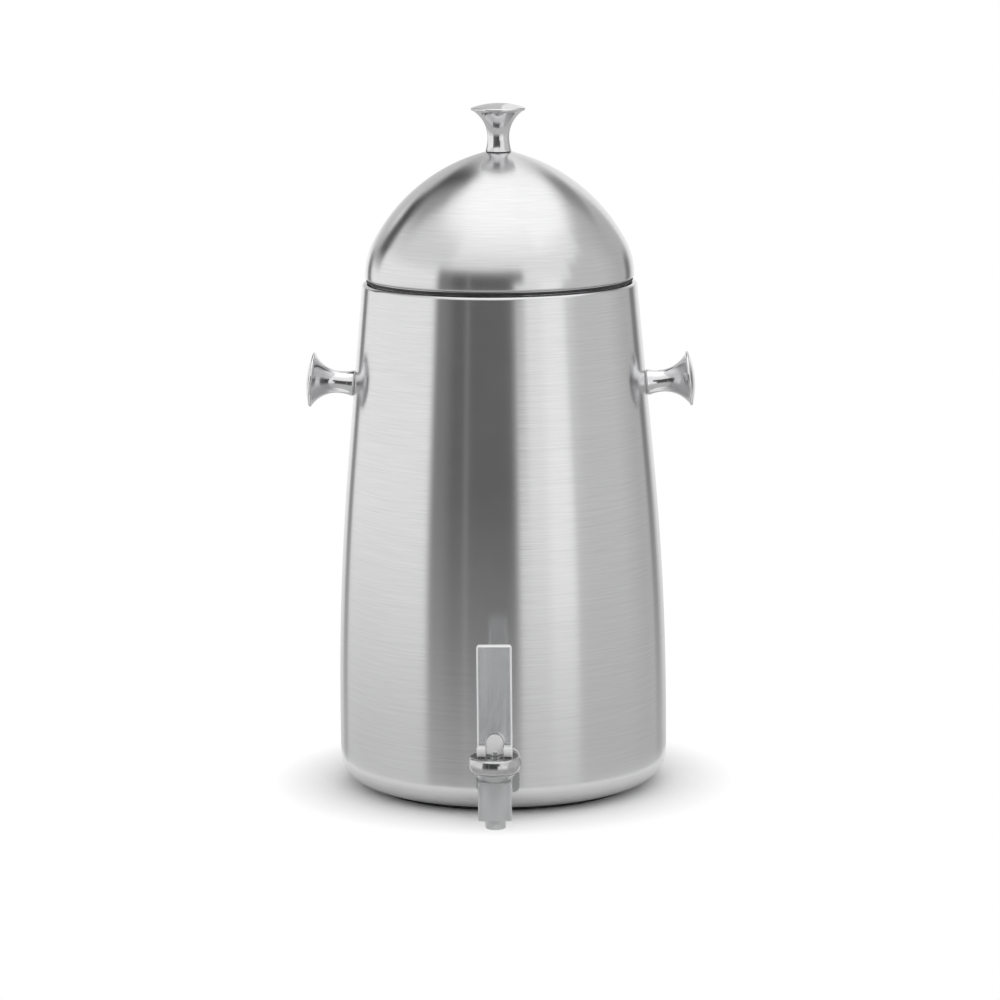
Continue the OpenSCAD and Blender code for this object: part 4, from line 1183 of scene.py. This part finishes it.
class URN_OT_lever(bpy.types.Operator):
    """Models the clear lever with its slot and cams, and the pin it turns on"""

    bl_idname = "urn.lever"
    bl_label = "Lever"

    def execute(self, context):
        tap = context.scene.urn_tap
        at_pin = at_valve(tap) @ Matrix.Translation((0, 0, tap.pin_z))
        lever = soften(self.model_bar(tap), tap.edge)
        for side in (-1, 1):
            combine(lever, soften(self.model_cam(tap, side), tap.edge), "UNION")
        cut_pin_hole(tap, lever, 2 * LEVER_HIGH.x, 0, 0)
        place(lever, at_pin)
        finish_piece(lever, "lever", "Clear plastic", "clear_plastic", "tap_lever")
        # The lever's edges and cams get the frosted white finish, partly a painted highlight for the
        # light clear edges catch
        matt_highlight_edges(lever, lambda face: abs(face.normal.y) < FACING or face.center.z < tap.pin_z)
        half, edge = PIN_HIGH.x, tap.edge
        section = [(0, -half)] + arc(tap.pin - edge, edge - half, edge, -90, 0, 5)
        section += arc(tap.pin - edge, half - edge, edge, 0, 90, 5) + [(0, half)]
        pin = turn_piece("pin", section, SMALL_FACETS)
        place(pin, at_pin @ Matrix.Rotation(math.pi / 2, 4, "Y"))
        finish_piece(pin, "lever", "Clear plastic", "clear_plastic", "lever_pin")
        return {"FINISHED"}

    def model_bar(self, tap):
        """The flat bar, with well rounded edges and a round-topped slot at its foot."""
        wide, low, high = LEVER_HIGH.x, tap.cam_step - tap.cam_low, LEVER_HIGH.z - tap.pin_z
        slot = tap.slot
        slot_z = tap.slot_top - tap.pin_z - slot
        outline = [(slot, low), (wide, low), (wide, high), (-wide, high)]
        outline += [(-wide, low), (-slot, low)] + arc(0, slot_z, slot, 180, 0, 28)
        bar = draw_out("lever", outline + outline[:1], tap.lever_t)

        def at_foot(a, b):
            return a.z < low + MERGE and b.z < low + MERGE

        def outside(a, b):
            sides = abs(a.x) > wide - MERGE and abs(b.x) > wide - MERGE
            top = a.z > high - MERGE and b.z > high - MERGE
            return (sides or top) and not at_foot(a, b)

        def around_slot(a, b):
            along = abs(a.y - b.y) < MERGE
            return along and max(abs(a.x), abs(b.x)) < slot + MERGE and not at_foot(a, b)

        bevel_edges(bar, tap.slot_round, around_slot, 4)
        return bevel_edges(bar, tap.lever_round, outside, 6)

    def model_cam(self, tap, side):
        """A foot whose underside lifts the pin evenly as the lever tips forward."""
        rise = tap.lift / tap.throw
        low, back = tap.cam_low, tap.lever_t / 2 - tap.cam_step
        outline = [(back, 0), (back, -low)]
        steps = 24
        for i in range(steps + 1):
            turn = tap.throw * i / steps
            reach = low + rise * turn
            s, c = math.sin(turn), math.cos(turn)
            outline.append((-reach * s - rise * c, -reach * c + rise * s))
        outline.append((outline[-1][0], 0))
        cam = draw_out("cam", outline + outline[:1], LEVER_HIGH.x - tap.slot - 2 * tap.cam_step)
        middle = side * (LEVER_HIGH.x + tap.slot) / 2
        return place(cam, Matrix.Translation((middle, 0, 0)) @ Matrix.Rotation(math.pi / 2, 4, "Z"))


# Panels of the studio, for the steel to reflect: from and to in degrees to the right of the camera,
# bottom and top in degrees over the horizon, softness of the edges in degrees, and brightness
PANELS = [
    # Left wall, dimmer higher up
    (-135, -45, -30, 24, 8, 1.10),
    (-130, -45, 24, 56, 10, 0.88),
    # Top light, lower on the right
    (45, 150, 52, 80, 6, 1.38),
    # Grey wall to the right, stepped up towards the back
    (55, 170, -30, 9, 3, 0.72),
    (65, 170, 5, 30, 5, 0.70),
    (78, 160, 25, 38, 6, 0.70),
    (92, 155, 33, 47, 8, 0.66),
    (112, 165, -30, 46, 24, 0.57),
    (131, 152, 32, 46, 5, 0.38),
    (140, 158, 33, 44, 5, 0.30),
    # Bright strip to the right of the camera
    (14, 55, -30, 24, 5, 1.05),
    (36, 55, -30, 8, 8, 1.24),
    # Dark wall behind the camera, with a thin bright slit
    (-52, 13, -30, 25, 5, 0.21),
    (-38, 12, -30, 22, 8, 0.095),
    (8, 22, 8, 25, 5, 0.15),
    (-25.5, -22.5, -30, 18, 1.5, 0.24),
    # Back of the studio
    (-190, -146, 8, 52, 8, 0.68),
    (155, 190, -30, 30, 6, 0.95),
    # Flags that draw the dark lines along the urn's edges
    (-150.5, -139.5, -30, 10, 3, 0.22),
    (-147, -122, 8, 20, 6, 0.50),
    (-139, -123, 16, 30, 5, 0.08),
    (-146, -126, 28, 43, 5, 0.02),
    (-160, -132, 38, 64, 8, 0.03),
    (-138, -111, 38, 62, 12, 0.38),
    (138, 149, -30, 10, 3, 0.22),
]


# Heights in degrees over the horizon between which the walls turn into the bright top
TOP_FADE = (44, 72)
# Heights in degrees between which the ground turns into the walls
GROUND_FADE = (-16, -2)
# Facets around the floor and the tent
STAGE_FACETS = 128


class URN_OT_stage(bpy.types.Operator):
    """Sets up the camera, the pale floor and the soft light around the urn"""

    bl_idname = "urn.stage"
    bl_label = "Stage"

    def execute(self, context):
        stage = context.scene.urn_stage
        context.scene.view_settings.view_transform = "Standard"
        self.add_camera(context, stage)
        self.add_floor(stage)
        self.add_tent(stage)
        self.light_world(context, stage)
        return {"FINISHED"}

    def add_camera(self, context, stage):
        """A long lens at the photograph's height, distance and turn."""
        clear_selection()
        bpy.ops.object.camera_add()
        camera = context.object
        camera.name = "camera"
        camera.data.lens = stage.lens
        camera.data.clip_end = 100
        aim = Matrix.Rotation(math.pi / 2 - stage.pitch, 4, "X") @ Matrix.Rotation(-stage.roll, 4, "Z")
        aim = Matrix.Rotation(stage.pan, 4, "Z") @ aim
        stand = Matrix.Translation((0, -stage.distance, stage.height))
        camera.matrix_world = Matrix.Rotation(stage.azimuth, 4, "Z") @ stand @ aim
        context.scene.camera = camera

    def add_floor(self, stage):
        """A round pale floor."""
        clear_selection()
        bpy.ops.mesh.primitive_circle_add(vertices=STAGE_FACETS, radius=stage.floor_r, fill_type="NGON")
        floor = name_piece("floor")
        tree, shader = new_material("Studio floor")
        skin = use_group(tree, "Moulded Skin", {"Fineness": 300.0})
        paler = [min(1.0, 1.02 * c) for c in stage.floor]
        tint = mix_colours(tree, skin["Cloud"], stage.floor, paler)
        feed(tree, shader, {"Roughness": 1.0, "Specular IOR Level": 0.0, "Base Color": tint})
        self.fade_to_white(tree, shader, stage)
        floor.data.materials.append(bpy.data.materials["Studio floor"])

    def fade_to_white(self, tree, shader, stage):
        """Lets the floor run out into the white surround, for the camera, metal and glass alike."""
        radius = vector_node(tree, "LENGTH", {0: object_place(tree)})["Value"]
        outside = remap(tree, radius, stage.floor_plain, stage.floor_white)
        ray = add_node(tree, "ShaderNodeLightPath").outputs
        seen = math_node(tree, "MAXIMUM", ray["Is Camera Ray"], ray["Is Glossy Ray"])
        seen = math_node(tree, "MAXIMUM", seen, ray["Is Transmission Ray"])
        white = add_node(tree, "ShaderNodeEmission", None, {"Strength": stage.world})
        factor = math_node(tree, "MULTIPLY", outside, seen)
        inputs = {0: factor, 1: shader.outputs[0], 2: white.outputs[0]}
        mixed = add_node(tree, "ShaderNodeMixShader", None, inputs)
        feed(tree, tree.nodes["Material Output"], {"Surface": mixed.outputs[0]})

    def add_tent(self, stage):
        """A round tent of bright and dark panels under a bright top, for the steel to reflect."""
        points = arc(0, 0, stage.tent, -math.degrees(stage.tent_low), 90, 40)
        tent = turn_piece("tent", points, STAGE_FACETS)
        tent.visible_camera = False
        tent.data.materials.append(self.make_panels(stage))

    def make_panels(self, stage):
        """The light of the tent's top, walls, panels and ground, each at its own level."""
        material = bpy.data.materials.new("Tent")
        material.use_nodes = True
        tree = material.node_tree
        tree.nodes.clear()
        split = add_node(tree, "ShaderNodeSeparateXYZ", None, {0: object_place(tree)}).outputs
        toward = math_node(tree, "MULTIPLY", split["Y"], -1.0)
        azimuth = math_node(tree, "ARCTAN2", split["X"], toward)
        height = math_node(tree, "DIVIDE", split["Z"], stage.tent)
        elevation = math_node(tree, "ARCSINE", height, 0.0)
        level = self.fade(tree, elevation, stage.tent_wall, stage.tent_level, *TOP_FADE)
        for panel in PANELS:
            level = self.add_panel(tree, level, azimuth, elevation, panel)
        level = self.fade(tree, elevation, stage.tent_ground, level, *GROUND_FADE)
        light = add_node(tree, "ShaderNodeEmission", None, {"Strength": level})
        add_node(tree, "ShaderNodeOutputMaterial", None, {"Surface": light.outputs[0]})
        return material

    def fade(self, tree, value, first, second, start, end):
        """Goes from one level to another between two angles in degrees."""
        factor = remap(tree, value, math.radians(start), math.radians(end))
        return mix_levels(tree, factor, first, second)

    def add_panel(self, tree, level, azimuth, elevation, panel):
        """Lays one soft-edged panel over what is there."""
        left, right, bottom, top, soft, bright = panel
        masks = []
        for value, low, high in ((azimuth, left, right), (elevation, bottom, top)):
            masks.append(self.fade(tree, value, 0.0, 1.0, low - soft / 2, low + soft / 2))
            masks.append(self.fade(tree, value, 1.0, 0.0, high - soft / 2, high + soft / 2))
        mask = masks[0]
        for other in masks[1:]:
            mask = math_node(tree, "MULTIPLY", mask, other)
        return mix_levels(tree, mask, level, bright)

    def light_world(self, context, stage):
        """A white surround, which the camera sees behind the urn and the steel sees under the tent."""
        world = bpy.data.worlds.new("Surround")
        context.scene.world = world
        world.use_nodes = True
        sky = world.node_tree.nodes["Background"]
        sky.inputs["Color"].default_value = (1, 1, 1, 1)
        sky.inputs["Strength"].default_value = stage.world


class URN_PT_sidebar(bpy.types.Panel):
    """Lists the urn's steps and its sizes in the 3D view's sidebar"""

    bl_idname = "URN_PT_sidebar"
    bl_label = "Coffee Urn"
    bl_space_type = "VIEW_3D"
    bl_region_type = "UI"
    bl_category = "Coffee Urn"

    def draw(self, context):
        for step in STEPS:
            self.layout.operator(step.bl_idname)
        for name, group in GROUPS.items():
            box = self.layout.box()
            box.label(text=group.bl_rna.name)
            for key in group.__annotations__:
                box.prop(getattr(context.scene, name), key)


STEPS = [
    URN_OT_finishes,
    URN_OT_body,
    URN_OT_vessel,
    URN_OT_lid,
    URN_OT_knobs,
    URN_OT_tap,
    URN_OT_valve,
    URN_OT_lever,
    URN_OT_stage,
]


def register():
    for kind in [*GROUPS.values(), *STEPS, URN_PT_sidebar]:
        bpy.utils.register_class(kind)
    for name, group in GROUPS.items():
        setattr(bpy.types.Scene, name, PointerProperty(type=group))


def unregister():
    for name in GROUPS:
        delattr(bpy.types.Scene, name)
    for kind in [URN_PT_sidebar, *reversed(STEPS), *reversed(GROUPS.values())]:
        bpy.utils.unregister_class(kind)


def main():
    register()
    bpy.ops.urn.finishes()
    bpy.ops.urn.body()
    bpy.ops.urn.vessel()
    bpy.ops.urn.lid()
    bpy.ops.urn.knobs()
    bpy.ops.urn.tap()
    bpy.ops.urn.valve()
    bpy.ops.urn.lever()
    bpy.ops.urn.stage()


if __name__ == "__main__":
    main()
